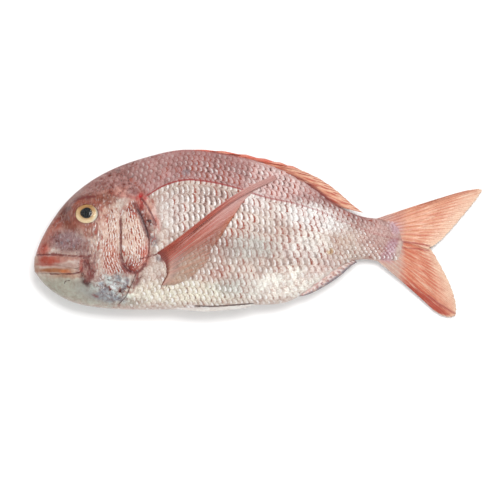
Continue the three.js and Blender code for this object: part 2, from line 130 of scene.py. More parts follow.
class BreamColours(bpy.types.PropertyGroup):
    """Colours of the skin, fins and eyes."""

    back: colour("Back", "Skin over the lateral line", 177, 130, 126)
    ridge: colour("Ridge", "Red edge of the back", 168, 70, 62)
    nape: colour("Nape", "Skin behind the forehead", 158, 110, 104)
    nape_light: colour("Nape light", "Paler skin over the shoulder", 190, 148, 142)
    forehead: colour("Forehead", "Skin along the forehead's edge", 140, 96, 86)
    face: colour("Face", "Skin round the eye", 140, 79, 62)
    cheek: colour("Cheek", "Silvery pink of the cheek and gill cover", 228, 192, 174)
    blush: colour("Blush", "Orange pink of the head", 200, 128, 108)
    rim: colour("Gill rim", "Rim of the gill cover", 198, 100, 82)
    snout: colour("Snout", "Orange red of the snout", 172, 92, 74)
    coral: colour("Coral", "Reddest skin of the snout", 180, 74, 58)
    mauve: colour("Mauve", "Bare skin over the mouth", 132, 96, 100)
    rust: colour("Rust", "Brown before the eye", 118, 50, 32)
    brow: colour("Brow", "Dark streak over the eye", 96, 46, 36)
    # Soot also paints the shade and shadow in the nearly black crease lines.
    soot: colour("Soot", "Darkest marks of the head", 70, 34, 34)
    # Wine also paints shade: in the red crease lines and along the dorsal fin's root.
    wine: colour("Wine", "Dark red marks", 118, 50, 48)
    plum: colour("Plum", "Dull red of the gill opening", 122, 70, 70)
    slate: colour("Slate", "Blue grey marks", 120, 118, 126)
    ink: colour("Ink", "Black specks", 72, 54, 60)
    blood: colour("Blood", "Fresh red at the gill opening", 178, 30, 32)
    red: colour("Red", "Bruised red on the flank", 180, 88, 78)
    chin: colour("Chin", "Throat and chin", 168, 166, 150)
    jaw: colour("Jaw", "Mottled grey of the lower cheek", 178, 174, 170)
    flank: colour("Flank", "Flank under the lateral line", 208, 186, 174)
    silver: colour("Silver", "Brightest part of the flank", 246, 236, 232)
    haze: colour("Haze", "Blue grey zone of the flank", 184, 180, 172)
    tan: colour("Tan", "Brown tinge of the flank", 214, 178, 150)
    ochre: colour("Ochre", "Yellow mark on the flank", 206, 164, 112)
    belly: colour("Belly", "Cream of the belly", 236, 226, 206)
    belly_rear: colour("Rear belly", "Belly before the anal fin", 255, 247, 236)
    pink: colour("Pink", "Pink over the anal fin", 228, 190, 184)
    stalk: colour("Tail stalk", "Narrow part before the tail", 198, 158, 150)
    lilac: colour("Lilac", "Where the tail fin begins", 196, 152, 164)
    lip: colour("Lip", "Upper lip", 172, 78, 62)
    lip_front: colour("Lip front", "Thin skin at the front of the lips", 172, 130, 108)
    lip_pad: colour("Lip pad", "Pale pad at the corner of the mouth", 180, 146, 134)
    lip_top: colour("Lip top", "Upper edge of the pad", 178, 118, 102)
    lip_low: colour("Lower lip", "Lower lip", 158, 98, 60)
    amber: colour("Amber", "Corner of the lower lip", 196, 112, 66)
    # The front of each scale's bare part: its reddish brown pocket, darkened by painted shade under the scale
    # in front.
    shaded_pocket: colour("Scale pocket", "Dark skin at the front of each scale", 92, 50, 46)
    # The same but redder, with the same painted shade, on the scales; the coral of the streaks on the bare
    # cheek.
    pocket_red: colour("Red scale pocket", "Redder skin at the front of other scales", 166, 72, 54)
    dusk: colour("Dusk", "Dull skin on the front of the flank", 162, 124, 114)
    # This also carries the painted shade of the pockets.
    pocket_pale: colour("Pale scale pocket", "The same on the belly", 134, 112, 100)
    # Painted highlights: the gleam on each scale and the glints of the wet skin. Also a white streak along the
    # belly.
    white_and_glint: colour("Gleam", "Silver of the scales", 255, 252, 250)
    # Also the red of the painted shadow lines on the tail.
    lateral: colour("Lateral line", "Line along the flank", 160, 58, 58)
    fin: colour("Fin", "Membrane of the fins", 236, 172, 140)
    fin_ray: colour("Fin rays", "Rays of the fins", 204, 98, 70)
    fin_tip: colour("Fin tips", "Pale edges of the fins", 252, 218, 190)
    spine: colour("Dorsal spines", "Bright red of the folded spines", 226, 96, 72)
    fin_root: colour("Pectoral fin", "Rays of the pectoral fin", 190, 88, 76)
    fin_web: colour("Pectoral web", "Membrane of the pectoral fin", 184, 116, 100)
    fin_white: colour("Pelvic fins", "Pale pelvic fins", 238, 232, 226)
    iris: colour("Iris", "Pale gold of the iris", 255, 228, 184)
    iris_shade: colour("Iris shade", "Upper part of the iris", 208, 154, 96)
    iris_silver: colour("Iris rim", "Silvery edge of the iris", 236, 230, 216)
    pupil: colour("Pupil", "Pupil of the eye", 8, 16, 24)
    table: FloatVectorProperty(
        name="Table",
        description="Surface that the fish lies on",
        default=(0.93,) * 3,
        min=0,
        max=1,
        size=3,
        subtype="COLOR",
    )


# ---------------------------------------------------------------- outlines


def smooth(value, low, high):
    """0 up to low, 1 from high on, and a soft step between."""
    share = np.clip((value - low) / (high - low), 0, 1)
    return share * share * (3 - 2 * share)


def between(value, low, start, end, high):
    """1 from start to end, 0 up to low and from high on, with soft steps between."""
    return smooth(value, low, start) * (1 - smooth(value, end, high))


def lerp(a, b, share):
    return a + (b - a) * share


def profile(knots):
    """A smooth curve y(x) through the knots, worked out in the square root of x to make the snout round."""
    at = np.sqrt([knot[0] for knot in knots])
    value = np.array([knot[1] for knot in knots], float)
    gaps = np.diff(at)
    slopes = np.diff(value) / gaps
    inner = (slopes[1:] * gaps[:-1] + slopes[:-1] * gaps[1:]) / (gaps[:-1] + gaps[1:])
    tangents = np.concatenate([slopes[:1], inner, slopes[-1:]])

    def curve_at(x):
        root = np.sqrt(np.clip(x, 0, knots[-1][0]))
        i = np.clip(np.searchsorted(at, root) - 1, 0, len(gaps) - 1)
        t = (root - at[i]) / gaps[i]
        return (
            value[i] * (1 + 2 * t) * (1 - t) ** 2
            + tangents[i] * gaps[i] * t * (1 - t) ** 2
            + value[i + 1] * t * t * (3 - 2 * t)
            + tangents[i + 1] * gaps[i] * t * t * (t - 1)
        )

    return curve_at


def curve(knots):
    """A smooth plane curve through the knots, which lie at equal steps of its length share."""
    points = np.array(knots, float)
    points = np.vstack([2 * points[0] - points[1], points, 2 * points[-1] - points[-2]])
    steps = np.linalg.norm(np.diff(points, axis=0), axis=1) ** 0.5

    def at(share):
        place = np.clip(np.asarray(share, float), 0, 1) * (len(knots) - 1)
        i = np.clip(place.astype(int), 0, len(knots) - 2)
        t = (place - i)[..., None]
        p0, p1, p2, p3 = (points[i + k] for k in range(4))
        d0, d1, d2 = (steps[i + k][..., None] for k in range(3))
        start = ((p1 - p0) / d0 - (p2 - p0) / (d0 + d1)) * d1 + p2 - p1
        end = ((p3 - p2) / d2 - (p3 - p1) / (d1 + d2)) * d1 + p2 - p1
        return (
            p1 * (1 + 2 * t) * (1 - t) ** 2
            + start * t * (1 - t) ** 2
            + p2 * t * t * (3 - 2 * t)
            + end * t * t * (t - 1)
        )

    return at


BODY_LENGTH = 290
END_START = 276  # from here the body closes to a blunt end at the height END_MIDDLE
END_MIDDLE = 19


def closing(outline):
    """The outline, closed at the tail."""

    def closed(x):
        share = np.clip((x - END_START) / (BODY_LENGTH - END_START), 0, 1)
        return lerp(END_MIDDLE, outline(x), (1 - share**4) ** 0.5)

    return closed


back = closing(profile([
    (0, -1), (3, 13), (11, 29.5), (28, 52), (52, 70), (84, 83), (120, 90), (140, 88.5), (160, 85),
    (176, 81), (190, 76.2), (203, 69.5), (217, 61.2), (226, 54.4), (233, 48.6), (241, 44), (262, 36.8),
    (276, 37), (290, 41),
]))
belly = closing(profile([
    (0, -1), (3, -8.5), (12, -18.5), (32, -29.5), (60, -34), (100, -34.7), (168, -31.5),
    (204, -26), (222, -13.5), (240, -1), (256, 4.4), (268, 3), (276, 1.6), (290, -4),
]))
half_width = profile([
    (0, 0), (3, 5.2), (12, 10.5), (30, 16.5), (60, 21.8), (95, 24), (130, 23.6), (165, 20.8),
    (195, 16.5), (225, 11), (250, 7), (270, 4.4), (285, 2.2), (290, 1),
])
axis_height = profile([
    (0, 21.5), (60, 21.5), (150, 21.2), (190, 19.2), (220, 15.8), (250, 11.5), (275, 8), (300, 5.6),
    (352, 2.6),
])
LATERAL_START = 88.1
lateral = profile([
    (0, 53), (60, 53), (LATERAL_START, 53.8), (99.8, 60.8), (120.1, 66.3), (131.8, 65.5), (152.1, 61.6),
    (182.5, 52.3), (205.1, 47.6), (225.4, 41), (234.8, 37), (256, 28), (280, 21), (300, 17),
])
# From this place forwards, the rows of scales leave the lateral line and run over the nape at this slope.
ROW_START = (110, 64.2)
ROW_SLOPE = 0.5


def row_guide(x):
    """The y that the rows of scales follow: the lateral line, and a straight line before it."""
    x0, y0 = ROW_START
    return np.where(x < x0, y0 + ROW_SLOPE * np.minimum(x - x0, 0), lateral(x))


WIDEST = 0.47  # share of the depth at which the body is thickest
BELLY_FULLNESS = 0.5  # the lower, the fuller
BACK_FULLNESS = 0.66


def thickness(v):
    """How thick the body is at a share v of its depth, from 0 at the belly to 1 at the back."""
    angle = np.pi * np.clip(v, 0, 1) ** (np.log(0.5) / np.log(WIDEST))
    fullness = lerp(BELLY_FULLNESS, BACK_FULLNESS, smooth(v, 0.2, 0.8))
    return np.maximum(np.sin(angle), 0) ** fullness


CONTACT_SOFTNESS = 1.2  # mm


def pressed(z):
    """Heights under the table are pressed flat, with a soft edge."""
    eased = (z + CONTACT_SOFTNESS) ** 2 / (4 * CONTACT_SOFTNESS)
    return np.where(z < -CONTACT_SOFTNESS, 0, np.where(z > CONTACT_SOFTNESS, z, eased))


EYE_CENTRE = (41.7, 40.4)
EYE_RADIUS = 8.7
EYE_OUT = 16.6  # how far the eye stands out from the middle plane
EYE_TILT = np.radians(13)  # towards the back
EYE_TURN = np.radians(6)  # towards the snout
ORBIT_NARROWNESS = 0.85  # the flat round the eye is this much as long as it is high
ORBIT_EDGE = (0.5, 9)  # where the flat ends and where it has faded out, in mm from the eye
HEAD_FORMS = (  # middle, half sizes and height of soft swellings and hollows
    ((58, 46), (14, 12), 0.8),
    ((25, 17), (11, 9), -1.4),
    ((63, 22), (8, 24), -0.9),
)


def stand_out(x, y):
    """How far the skin stands out from the middle plane at (x, y)."""
    low, high = belly(x), back(x)
    share = thickness((y - low) / np.maximum(high - low, 1e-6))
    forms = sum(
        height * np.exp(-(((x - at[0]) / size[0]) ** 2) - ((y - at[1]) / size[1]) ** 2)
        for at, size, height in HEAD_FORMS
    )
    body = half_width(x) * share + forms * np.minimum(1, 2 * share)
    aside, above = x - EYE_CENTRE[0], y - EYE_CENTRE[1]
    orbit = EYE_OUT + aside * np.tan(EYE_TURN) - above * np.tan(EYE_TILT)
    away = np.hypot(aside, ORBIT_NARROWNESS * above) - EYE_RADIUS
    return lerp(orbit, body, smooth(away, *ORBIT_EDGE))


def skin(x, y, side, lift=0.0):
    """The point of the skin over (x, y), lifted straight out. The side is 1 for the upper flank and -1 for
    the lower one."""
    return np.stack([x, y, pressed(axis_height(x) + side * (stand_out(x, y) + lift))], -1)


SQUEEZED = 0.6  # mm


def over_table(points):
    """Squeezes what lies under the fish into a thin layer on the table, with its parts in their order."""
    z = points[..., 2]
    points[..., 2] = np.where(z < SQUEEZED, SQUEEZED * np.exp(np.minimum(z, SQUEEZED) / SQUEEZED - 1), z)
    return points


SLOPE_STEP = 0.5  # mm to either side, over which the slope of the skin is taken


def over_skin(x, y, side, lift):
    """The point of the skin over (x, y), lifted square to the skin and kept over the table."""
    across = (stand_out(x + SLOPE_STEP, y) - stand_out(x - SLOPE_STEP, y)) / (2 * SLOPE_STEP)
    along = (stand_out(x, y + SLOPE_STEP) - stand_out(x, y - SLOPE_STEP)) / (2 * SLOPE_STEP)
    normal = np.stack([-across, -along, np.full_like(across, side)], -1)
    normal /= np.linalg.norm(normal, axis=-1, keepdims=True)
    return over_table(skin(x, y, side) + normal * np.asarray(lift)[..., None])


# ---------------------------------------------------------------- colour of the skin, place by place

# Tone, middle, half sizes, turn in degrees and strength of each soft patch, in the order they are laid down.
SKIN_PATCHES = (
    ("nape", (51.5, 63.2), (43.7, 18.7), 34, 0.85),
    ("forehead", (23.4, 46.0), (39.0, 8.0), 52, 0.7),
    ("nape_light", (90.5, 72.5), (20.3, 7.8), 22, 0.5),
    ("blush", (68.6, 56.2), (18.7, 5.5), 4, 0.5),
    ("face", (44.0, 42.0), (24.0, 17.0), 0, 0.95),
    ("rust", (27.5, 40.0), (9.5, 10.5), 30, 0.95),
    ("rust", (45.0, 51.0), (14.0, 5.0), 6, 0.55),
    ("brow", (38.2, 51.5), (8.6, 2.2), 8, 0.9),
    ("soot", (25.0, 42.1), (5.5, 2.8), 48, 0.8),
    ("slate", (24.2, 35.9), (2.8, 2.3), 0, 0.4),
    ("face", (29.0, 29.0), (9.0, 6.0), 0, 0.8),
    ("rust", (30.0, 31.0), (8.0, 5.5), 0, 0.5),
    ("wine", (19.0, 33.0), (6.5, 4.8), 40, 0.9),
    ("rust", (26.0, 36.0), (8.0, 10.0), 20, 0.4),
    ("snout", (12.5, 22.6), (18.7, 7.5), 58, 0.85),
    ("coral", (6.2, 11.7), (7.5, 6.0), 0, 0.8),
    ("mauve", (26.5, 18.5), (17.0, 10.0), -4, 0.9),
    ("cheek", (60.0, 30.4), (10.5, 24.0), 6, 0.9),
    ("cheek", (78.0, 22.6), (10.1, 26.5), 0, 0.9),
    ("face", (44.0, 27.0), (8.5, 9.0), 0, 0.75),
    ("face", (55.0, 49.0), (10.0, 7.5), -10, 0.85),
    ("snout", (43.5, 39.5), (17.0, 14.0), 0, 0.7),
    ("blush", (60.8, 7.0), (8.5, 14.0), 8, 0.75),
    ("plum", (42.0, 6.0), (9.5, 15.0), 10, 0.7),
    ("wine", (42.0, -3.0), (8.0, 14.0), -8, 0.7),
    ("chin", (29.6, -18.7), (35.9, 11.7), -12, 0.95),
    ("jaw", (64.0, -14.8), (15.6, 14.8), -30, 0.9),
    ("chin", (62.0, -28.0), (30.0, 6.0), 0, 0.6),
    ("slate", (52.0, -22.0), (24.0, 9.0), -14, 0.4),
    ("blush", (60.8, -2.3), (7.0, 5.5), 0, 0.6),
    ("rim", (87.0, 8.6), (3.9, 12.5), -4, 0.85),
    ("rim", (77.0, -1.0), (10.0, 6.5), -8, 0.85),
    ("wine", (75.0, -3.0), (7.5, 5.0), -20, 0.8),
    ("wine", (76.0, 3.0), (8.0, 6.0), -20, 0.35),
    ("wine", (72.0, 1.0), (3.5, 5.0), -40, 0.5),
    ("blush", (78.8, 42.9), (8.6, 6.2), -30, 0.6),
    ("blush", (90.0, 41.0), (8.0, 14.0), 32, 0.8),
    ("coral", (82.0, 52.0), (10.0, 6.0), 10, 0.6),
    ("plum", (88.0, 35.0), (5.5, 13.0), 28, 0.55),
    ("slate", (93.6, 18.7), (4.7, 5.5), 0, 0.7),
    ("silver", (216.8, 37.4), (32.8, 13.3), -14, 0.85),
    ("silver", (108.0, 42.0), (16.0, 17.0), 0, 0.35),
    ("dusk", (128.0, 48.0), (44.0, 15.0), -4, 0.22),
    ("dusk", (150.0, 51.0), (24.0, 9.0), -12, 0.55),
    ("dusk", (152.0, 14.0), (15.0, 12.0), 0, 0.4),
    ("pink", (192.0, 67.0), (32.0, 10.0), -24, 0.95),
    ("pink", (182.0, 59.0), (22.0, 10.0), -20, 0.8),
    ("haze", (168.5, 14.0), (26.5, 12.5), 0, 0.75),
    ("silver", (171.0, 51.0), (13.0, 9.0), -20, 0.65),
    ("tan", (230.9, 19.5), (28.1, 5.5), 0, 0.2),
    ("silver", (212.0, 14.0), (24.0, 13.0), 0, 0.5),
    ("belly", (121.7, -21.1), (54.6, 10.9), 0, 0.9),
    ("haze", (160.0, -17.0), (24.0, 9.0), 0, 0.8),
    ("dusk", (146.0, 12.0), (13.0, 16.0), -30, 0.4),
    ("belly_rear", (199.7, -13.3), (46.8, 14.0), 8, 0.8),
    ("pink", (224.6, -2.3), (18.7, 7.0), 24, 0.45),
    ("stalk", (272.0, 22.0), (22.0, 20.0), 0, 0.85),
    ("lilac", (283.0, 29.5), (5.5, 6.5), 20, 0.75),
    ("lilac", (279.5, 15.0), (5.5, 9.0), -20, 0.85),
    ("lilac", (275.0, 6.0), (5.5, 6.0), 0, 0.7),
    ("blush", (284.0, 38.0), (8.0, 5.0), 20, 0.7),
    ("belly_rear", (214.0, 18.0), (20.0, 11.0), 0, 0.3),
    ("ochre", (231.3, 10.9), (3.1, 2.7), 0, 0.8),
    ("tan", (156.8, 39.8), (7.8, 3.9), 45, 0.5),
    ("wine", (103.0, 5.5), (6.2, 4.7), -30, 0.8),
    ("slate", (97.5, 5.5), (3.1, 3.1), 0, 0.7),
    ("lip", (12.5, 3.9), (13.3, 5.0), 0, 1),
    ("lip_front", (2.0, -0.8), (2.7, 8.6), 0, 0.7),
    ("lip_pad", (26.0, -0.6), (14.0, 3.0), 0, 0.9),
    ("lip_top", (26.5, 5.1), (12.5, 2.3), -2, 0.8),
    ("lip", (10.0, 0.4), (10.0, 1.8), -4, 0.6),
    ("lip_low", (17.0, -4.2), (19.0, 2.6), 0, 0.95),
    ("amber", (25.0, -5.1), (6.2, 2.0), -12, 0.8),
    # Painted shade on the chin under the lower lip.
    ("lip_low", (26.0, -8.4), (14.0, 2.6), 0, 0.6),
    ("coral", (37.8, -1.6), (1.9, 7.0), 0, 0.6),
)
# The same for bruises, blood, specks and painted glints of the upper flank alone.
BLEMISHES = (
    ("blood", (84.2, 52.0), (6.0, 2.6), 8, 1.0),
    ("blood", (77.6, 40.6), (4.7, 1.7), -25, 0.6),
    ("ink", (76.0, 67.5), (1.9, 1.2), 0, 0.7),
    ("ink", (66.3, 73.3), (2.7, 1.6), 20, 0.5),
    ("slate", (119.3, 72.5), (3.1, 3.9), 50, 0.55),
    ("slate", (126.4, 79.2), (2.3, 1.6), 0, 0.5),
    ("ink", (144.3, 69.4), (1.6, 1.2), 0, 0.5),
    ("slate", (78.0, 56.9), (6.2, 3.9), 0, 0.4),
    ("ink", (91.3, 33.9), (1.6, 1.6), 0, 0.7),
    ("soot", (42.0, -13.5), (5.0, 2.6), -24, 0.95),
    ("wine", (44.0, -8.5), (5.0, 5.5), -20, 0.8),
    ("soot", (37.5, -9.0), (1.6, 4.0), 0, 0.5),
    ("wine", (50.0, -11.5), (5.0, 2.0), 20, 0.6),
    ("wine", (79.8, -11.5), (2.4, 8.0), -14, 0.85),
    ("ink", (66.0, -11.0), (2.2, 1.4), 30, 0.7),
    ("ink", (70.5, -19.0), (1.8, 3.2), -20, 0.7),
    ("ink", (57.0, -16.5), (2.6, 1.1), -30, 0.7),
    ("ink", (61.5, -21.5), (2.0, 1.2), 20, 0.6),
    # Painted glints on the jaw.
    ("white_and_glint", (62.0, -16.5), (3.5, 2.2), 0, 0.6),
    ("white_and_glint", (69.0, -10.5), (2.2, 1.6), 0, 0.4),
    ("nape_light", (86.5, 43.0), (2.5, 5.0), 28, 0.6),
    ("ink", (90.0, 34.5), (2.0, 1.5), 0, 0.8),
    ("wine", (92.5, 31.5), (3.0, 2.2), 0, 0.8),
    ("wine", (75.5, 41.8), (4.5, 1.8), -10, 0.7),
    ("blood", (84.0, 47.0), (3.0, 5.0), 10, 0.7),
    ("coral", (95.5, 33.0), (2.2, 9.0), 25, 0.6),
    ("slate", (53.0, -14.4), (2.8, 1.9), -20, 0.8),
    ("slate", (54.6, -19.9), (7.0, 2.2), 14, 0.7),
    ("slate", (58.0, -25.0), (16.0, 5.0), -6, 0.65),
    ("slate", (64.0, -13.0), (8.0, 7.0), -20, 0.3),
    ("wine", (47.6, -23.4), (3.3, 1.6), -12, 0.75),
    ("slate", (64.7, -26.5), (3.1, 2.0), 0, 0.7),
    ("slate", (71.8, -14.0), (3.1, 6.2), -12, 0.75),
    ("slate", (65.5, -8.6), (2.2, 3.9), 0, 0.6),
    ("jaw", (58.5, -12.5), (3.9, 3.1), 0, 0.6),
    ("white_and_glint", (127.0, -33.6), (17.0, 1.8), 0, 0.9),
    ("slate", (21.8, 17.2), (1.6, 1.2), 0, 0.6),
    ("slate", (27.3, 18.7), (1.7, 1.2), 0, 0.6),
    ("slate", (32.0, 14.8), (1.9, 1.6), 0, 0.5),
    ("red", (143.5, -7.0), (9.4, 4.7), 35, 0.3),
    ("red", (196.6, 15.6), (2.3, 20.3), -4, 0.15),
)
# Middle, half sizes and turn of the zones where the scales change, and how strong their pockets with painted
# shade, their painted highlights and their redness are there.
PRINT_ZONES = (
    ((138.0, 36.0), (44.0, 30.0), -4, (0.95, 0.95, 0.85)),
    ((142.0, 72.0), (26.0, 10.0), -12, (1.0, 0.65, 0.8)),
    ((190.0, 63.0), (30.0, 12.0), -22, (1.0, 0.7, 0.9)),
    ((98.0, 30.0), (12.0, 34.0), 0, (0.4, 0.7, 0.8)),
    ((92.0, -16.0), (30.0, 24.0), 0, (0.25, 0.5, 0.4)),
    ((96.0, 0.0), (14.0, 12.0), 0, (0.3, 0.3, 0.6)),
    ((219.2, 36.7), (31.2, 13.3), -14, (0.72, 1.3, 0.75)),
    ((170.0, 11.7), (28.1, 14.0), 0, (0.5, 0.55, 0.6)),
    ((117.8, -20.0), (49.9, 14.0), 0, (0.6, 0.95, 0.1)),
    ((201.2, -14.8), (42.1, 14.0), 6, (0.32, 0.6, 0.3)),
    ((240.2, 19.5), (26.5, 10.1), 0, (0.5, 0.6, 0.45)),
    ((243.4, 42.9), (28.1, 9.4), -24, (1.0, 0.6, 0.75)),
    ((274.6, 23.4), (15.6, 13.3), 0, (0.3, 0.15, 0.6)),
)
# The same outside the zones, under and over the lateral line.
PRINT_BELOW = (0.65, 0.8, 0.7)
PRINT_ABOVE = (0.6, 0.25, 0.85)

# Middle, half sizes and turn of the zones where the bare skin changes, and how strong its blotches, streaks,
# specks and painted glints are there.
TEXTURE_ZONES = (
    ((70, 68), (34, 16), 30, (1.6, 0.3, 1.8, 0.25)),
    ((62, 18), (22, 34), 0, (0.9, 1.6, 0.7, 1.3)),
    ((84, 20), (14, 32), 0, (0.9, 1.6, 0.7, 1.3)),
    ((26, 17), (18, 11), 0, (1.2, 0.3, 1.4, 0.3)),
    ((40, -2), (8, 14), 0, (1.2, 0.5, 1.4, 0.15)),
    ((86, 33), (8, 16), 28, (1.3, 0.5, 1.4, 1.0)),
    ((30, -18), (38, 11), -12, (0.4, 0.1, 0.3, 0.1)),
    ((14, 0), (26, 8), 0, (0.35, 0.1, 0.15, 0.1)),
    ((62, -18), (20, 12), -20, (2.2, 0.15, 1.7, 0.8)),
)
PLAIN_TEXTURE = (0.8, 0.25, 0.8, 0.2)  # the same outside the zones

# Half width in mm and the run of each dark red line of the skin. The lines lie in its grooves, along the gill
# opening and along the free edges of the head's plates, and are partly painted shade in these crevices.
RED_CREASES = (
    (0.8, [(2.7, 7.8), (16.4, 8.4), (28.1, 7.4), (36.0, 6.8), (43.5, 6.6)]),
    (0.6, [(13.0, -6.9), (24.0, -7.1), (33.0, -6.6), (37.0, -5.2), (38.8, -1.5)]),
    (1.3, [(68.9, 5.5), (70.2, 0.8), (73.7, -3.6), (78.8, -5.9), (83.5, -4.4), (87.4, 0.8)]),
    (0.8, [(68.3, 35.9), (68.5, 21.1), (68.6, 5.5)]),
    (2.1, [(79.0, 47.0), (83.5, 39.0), (86.6, 30.4), (89.6, 23.0)]),
    (0.7, [(90.1, 21.1), (90.3, 11.7), (88.5, 2.3)]),
    (0.9, [(84.0, 52.0), (88.0, 46.8), (92.0, 39.8), (95.6, 31.0)]),
    (0.9, [(28.9, 47.6), (34.3, 51.2), (40.6, 52.7), (48.4, 53.2)]),
    (0.7, [(83.5, 5.0), (90.5, 6.6), (96.7, 8.6)]),
)
SUNK_CREASES = RED_CREASES[:6]
# The same for lines that are nearly black: painted shade under the free edges of the cheek and gill cover,
# black lines on the flank and chin, and the painted shadow of the pelvic fin's edge on the belly.
DARK_CREASES = (
    (0.5, [(80.0, -6.2), (78.2, -11.7), (75.3, -17.2), (72.5, -23.9), (66.3, -30.7)]),
    (0.9, [(81.5, 43.0), (84.5, 37.0), (87.6, 29.0), (90.1, 21.1)]),
    (0.45, [(71.0, 0.0), (74.5, -4.2), (79.0, -5.6)]),
    (0.5, [(129.9, 60.7), (131.8, 56.9), (134.9, 52.3)]),
    (0.45, [(152.9, 54.6), (156.3, 50.7)]),
    (0.7, [(130.3, 46.4), (130.5, 42.1)]),
    (0.5, [(24.2, -14.4), (25.0, -12.3), (28.4, -12.0)]),
    # Painted shadow of the pelvic fin's edge along the belly.
    (0.7, [(125.6, -31.8), (140.0, -32.2), (155.0, -31.2), (171.0, -30.0)]),
)
DARK_CREASES_BELOW = DARK_CREASES[:3]  # the others are marks of the upper flank alone
# Where the scaled part of the body begins. The knots run from back to belly, and the points the other way.
SCALED_FRONT = curve([
    (54.6, 83.5), (65.5, 75.7), (74.9, 64.7), (85.7, 56.0), (93.0, 48.4), (98.6, 30.4), (96.2, 22.6),
    (92.0, 11.7), (87.4, -0.8), (81.9, -11.7), (79.6, -21.1), (73.3, -29.6), (67.1, -36.7),
])(np.linspace(0, 1, 60))[::-1]


def ripple(x, y, wavelength, seed):
    """A gentle uneven field between about -1 and 1."""
    rng = np.random.default_rng(seed)
    total = 0
    for turn, phase, stretch in rng.uniform((0, 0, 0.7), (np.pi, 2 * np.pi, 1.4), (5, 3)):
        run = x * np.cos(turn) + y * np.sin(turn)
        total = total + np.sin(run * 2 * np.pi / (wavelength * stretch) + phase)
    return total / 3


def patch(x, y, middle, size, turn):
    """1 in the middle of a soft ellipse and 0 well outside it."""
    cos, sin = np.cos(np.radians(turn)), np.sin(np.radians(turn))
    across = ((x - middle[0]) * cos + (y - middle[1]) * sin) / size[0]
    along = ((y - middle[1]) * cos - (x - middle[0]) * sin) / size[1]
    return 1 - smooth(np.hypot(across, along), 0.4, 1.2)


def wander(x, y):
    """The place that a point takes its colour from, a little off its own, which makes the patches uneven."""
    reach = 1.1 * np.clip((x + 10) / 60, 0.3, 1)
    return (
        x + reach * (ripple(x, y, 13, 3) + 0.5 * ripple(x, y, 5, 4)),
        y + reach * (ripple(x, y, 11, 5) + 0.5 * ripple(x, y, 4.5, 6)),
    )


EYE_OPENING = ((41.7, 39.7), (9.2, 7.7))  # middle and half sizes of the hole between the eyelids


def eye_share(x, y):
    """Distance from the middle of the eye, 1 at the edge of the lids."""
    (x0, y0), (width, height) = EYE_OPENING
    return np.hypot((x - x0) / width, (y - y0) / height)


LINE_SOFTNESS = (0.8, 9)  # mm in which the back turns to flank, at the front and at the rear
LID_RING = 1.04  # share of the eye's opening at which a dark ring runs round it
LID_RING_WIDTH = 0.13


def shades(colours, *names):
    return [np.array(getattr(colours, name)) for name in names]


def skin_tone(colours, x, y, side):
    """Colour of the skin: back and flank, the ridge of the back, the patches and a ring round the eye."""
    flank, upper, ridge_red, brow = shades(colours, "flank", "back", "ridge", "brow")
    x0, y0 = wander(x, y)
    soft = lerp(*LINE_SOFTNESS, smooth(x, 165, 235))
    above = smooth((y - lateral(x)) / soft, -0.6, 1)[..., None]
    made = lerp(flank, upper, above)
    ridge_line = smooth(y - back(x), -2.4, -0.4) * between(x, 80, 120, 160, 190)
    made = lerp(made, ridge_red, 0.7 * ridge_line[..., None])
    patches = SKIN_PATCHES + (BLEMISHES if side > 0 else ())
    for name, middle, size, turn, strength in patches:
        tone = np.array(getattr(colours, name))
        made = lerp(made, tone, (strength * patch(x0, y0, middle, size, turn))[..., None])
    ring = np.exp(-(((eye_share(x, y) - LID_RING) / LID_RING_WIDTH) ** 2))
    return lerp(made, brow, 0.45 * ring[..., None])


def by_zone(made, zones, x, y):
    """What is made for the whole skin, changed to each zone's own values within it."""
    for middle, size, turn, values in zones:
        made = lerp(made, np.array(values), patch(x, y, middle, size, turn)[..., None])
    return made


def scale_print(x, y):
    """How strongly the dark pocket with its painted shade, the painted highlight and the redness show on a
    scale at (x, y).
    """
    above = smooth(y - lateral(x), -1, 1)[..., None]
    return by_zone(lerp(np.array(PRINT_BELOW), np.array(PRINT_ABOVE), above), PRINT_ZONES, x, y)


def distance_to(lines, x, y):
    """Distance from the nearest of the lines, as a multiple of that line's half width, and 9 at the most."""
    nearest = np.full(np.shape(x), 9.0)
    for half, points in lines:
        for (x0, y0), (x1, y1) in zip(points, points[1:]):
            run = np.array([x1 - x0, y1 - y0])
            share = np.clip(((x - x0) * run[0] + (y - y0) * run[1]) / (run @ run), 0, 1)
            away = np.hypot(x - x0 - share * run[0], y - y0 - share * run[1]) / half
            nearest = np.minimum(nearest, away)
    return nearest


def skin_lines(x, y, side):
    """How far off the red lines, the dark lines and the lateral line are, for the skin's finish."""
    wavy = 0.25 * ripple(x, y, 4, 8)
    red = distance_to(RED_CREASES, x + wavy, y - wavy)
    dark = distance_to(DARK_CREASES if side > 0 else DARK_CREASES_BELOW, x, y)
    line = (y - lateral(x)) * 0.95
    return np.stack([red, dark, line, smooth(x, LATERAL_START - 2, LATERAL_START + 1)], -1)


def skin_texture(x, y):
    """How blotched and how streaked the skin is, and how many dark specks and painted glints it has."""
    return by_zone(np.broadcast_to(np.array(PLAIN_TEXTURE), (*np.shape(x), 4)), TEXTURE_ZONES, x, y)


def scaled_start(y):
    """The x at which the scaled part of the body begins."""
    return np.interp(y, SCALED_FRONT[:, 1], SCALED_FRONT[:, 0])


def scaled_share(x, y):
    """1 where the body is scaled, 0 on the bare head."""
    return smooth(x - scaled_start(y), -1, 2)


# ---------------------------------------------------------------- meshes


def deselect():
    bpy.ops.object.select_all(action="DESELECT")


def named(name):
    piece = bpy.context.object
    piece.name = piece.data.name = name
    return piece


def coordinates(piece):
    found = np.zeros(len(piece.data.vertices) * 3)
    piece.data.vertices.foreach_get("co", found)
    return found.reshape(-1, 3)


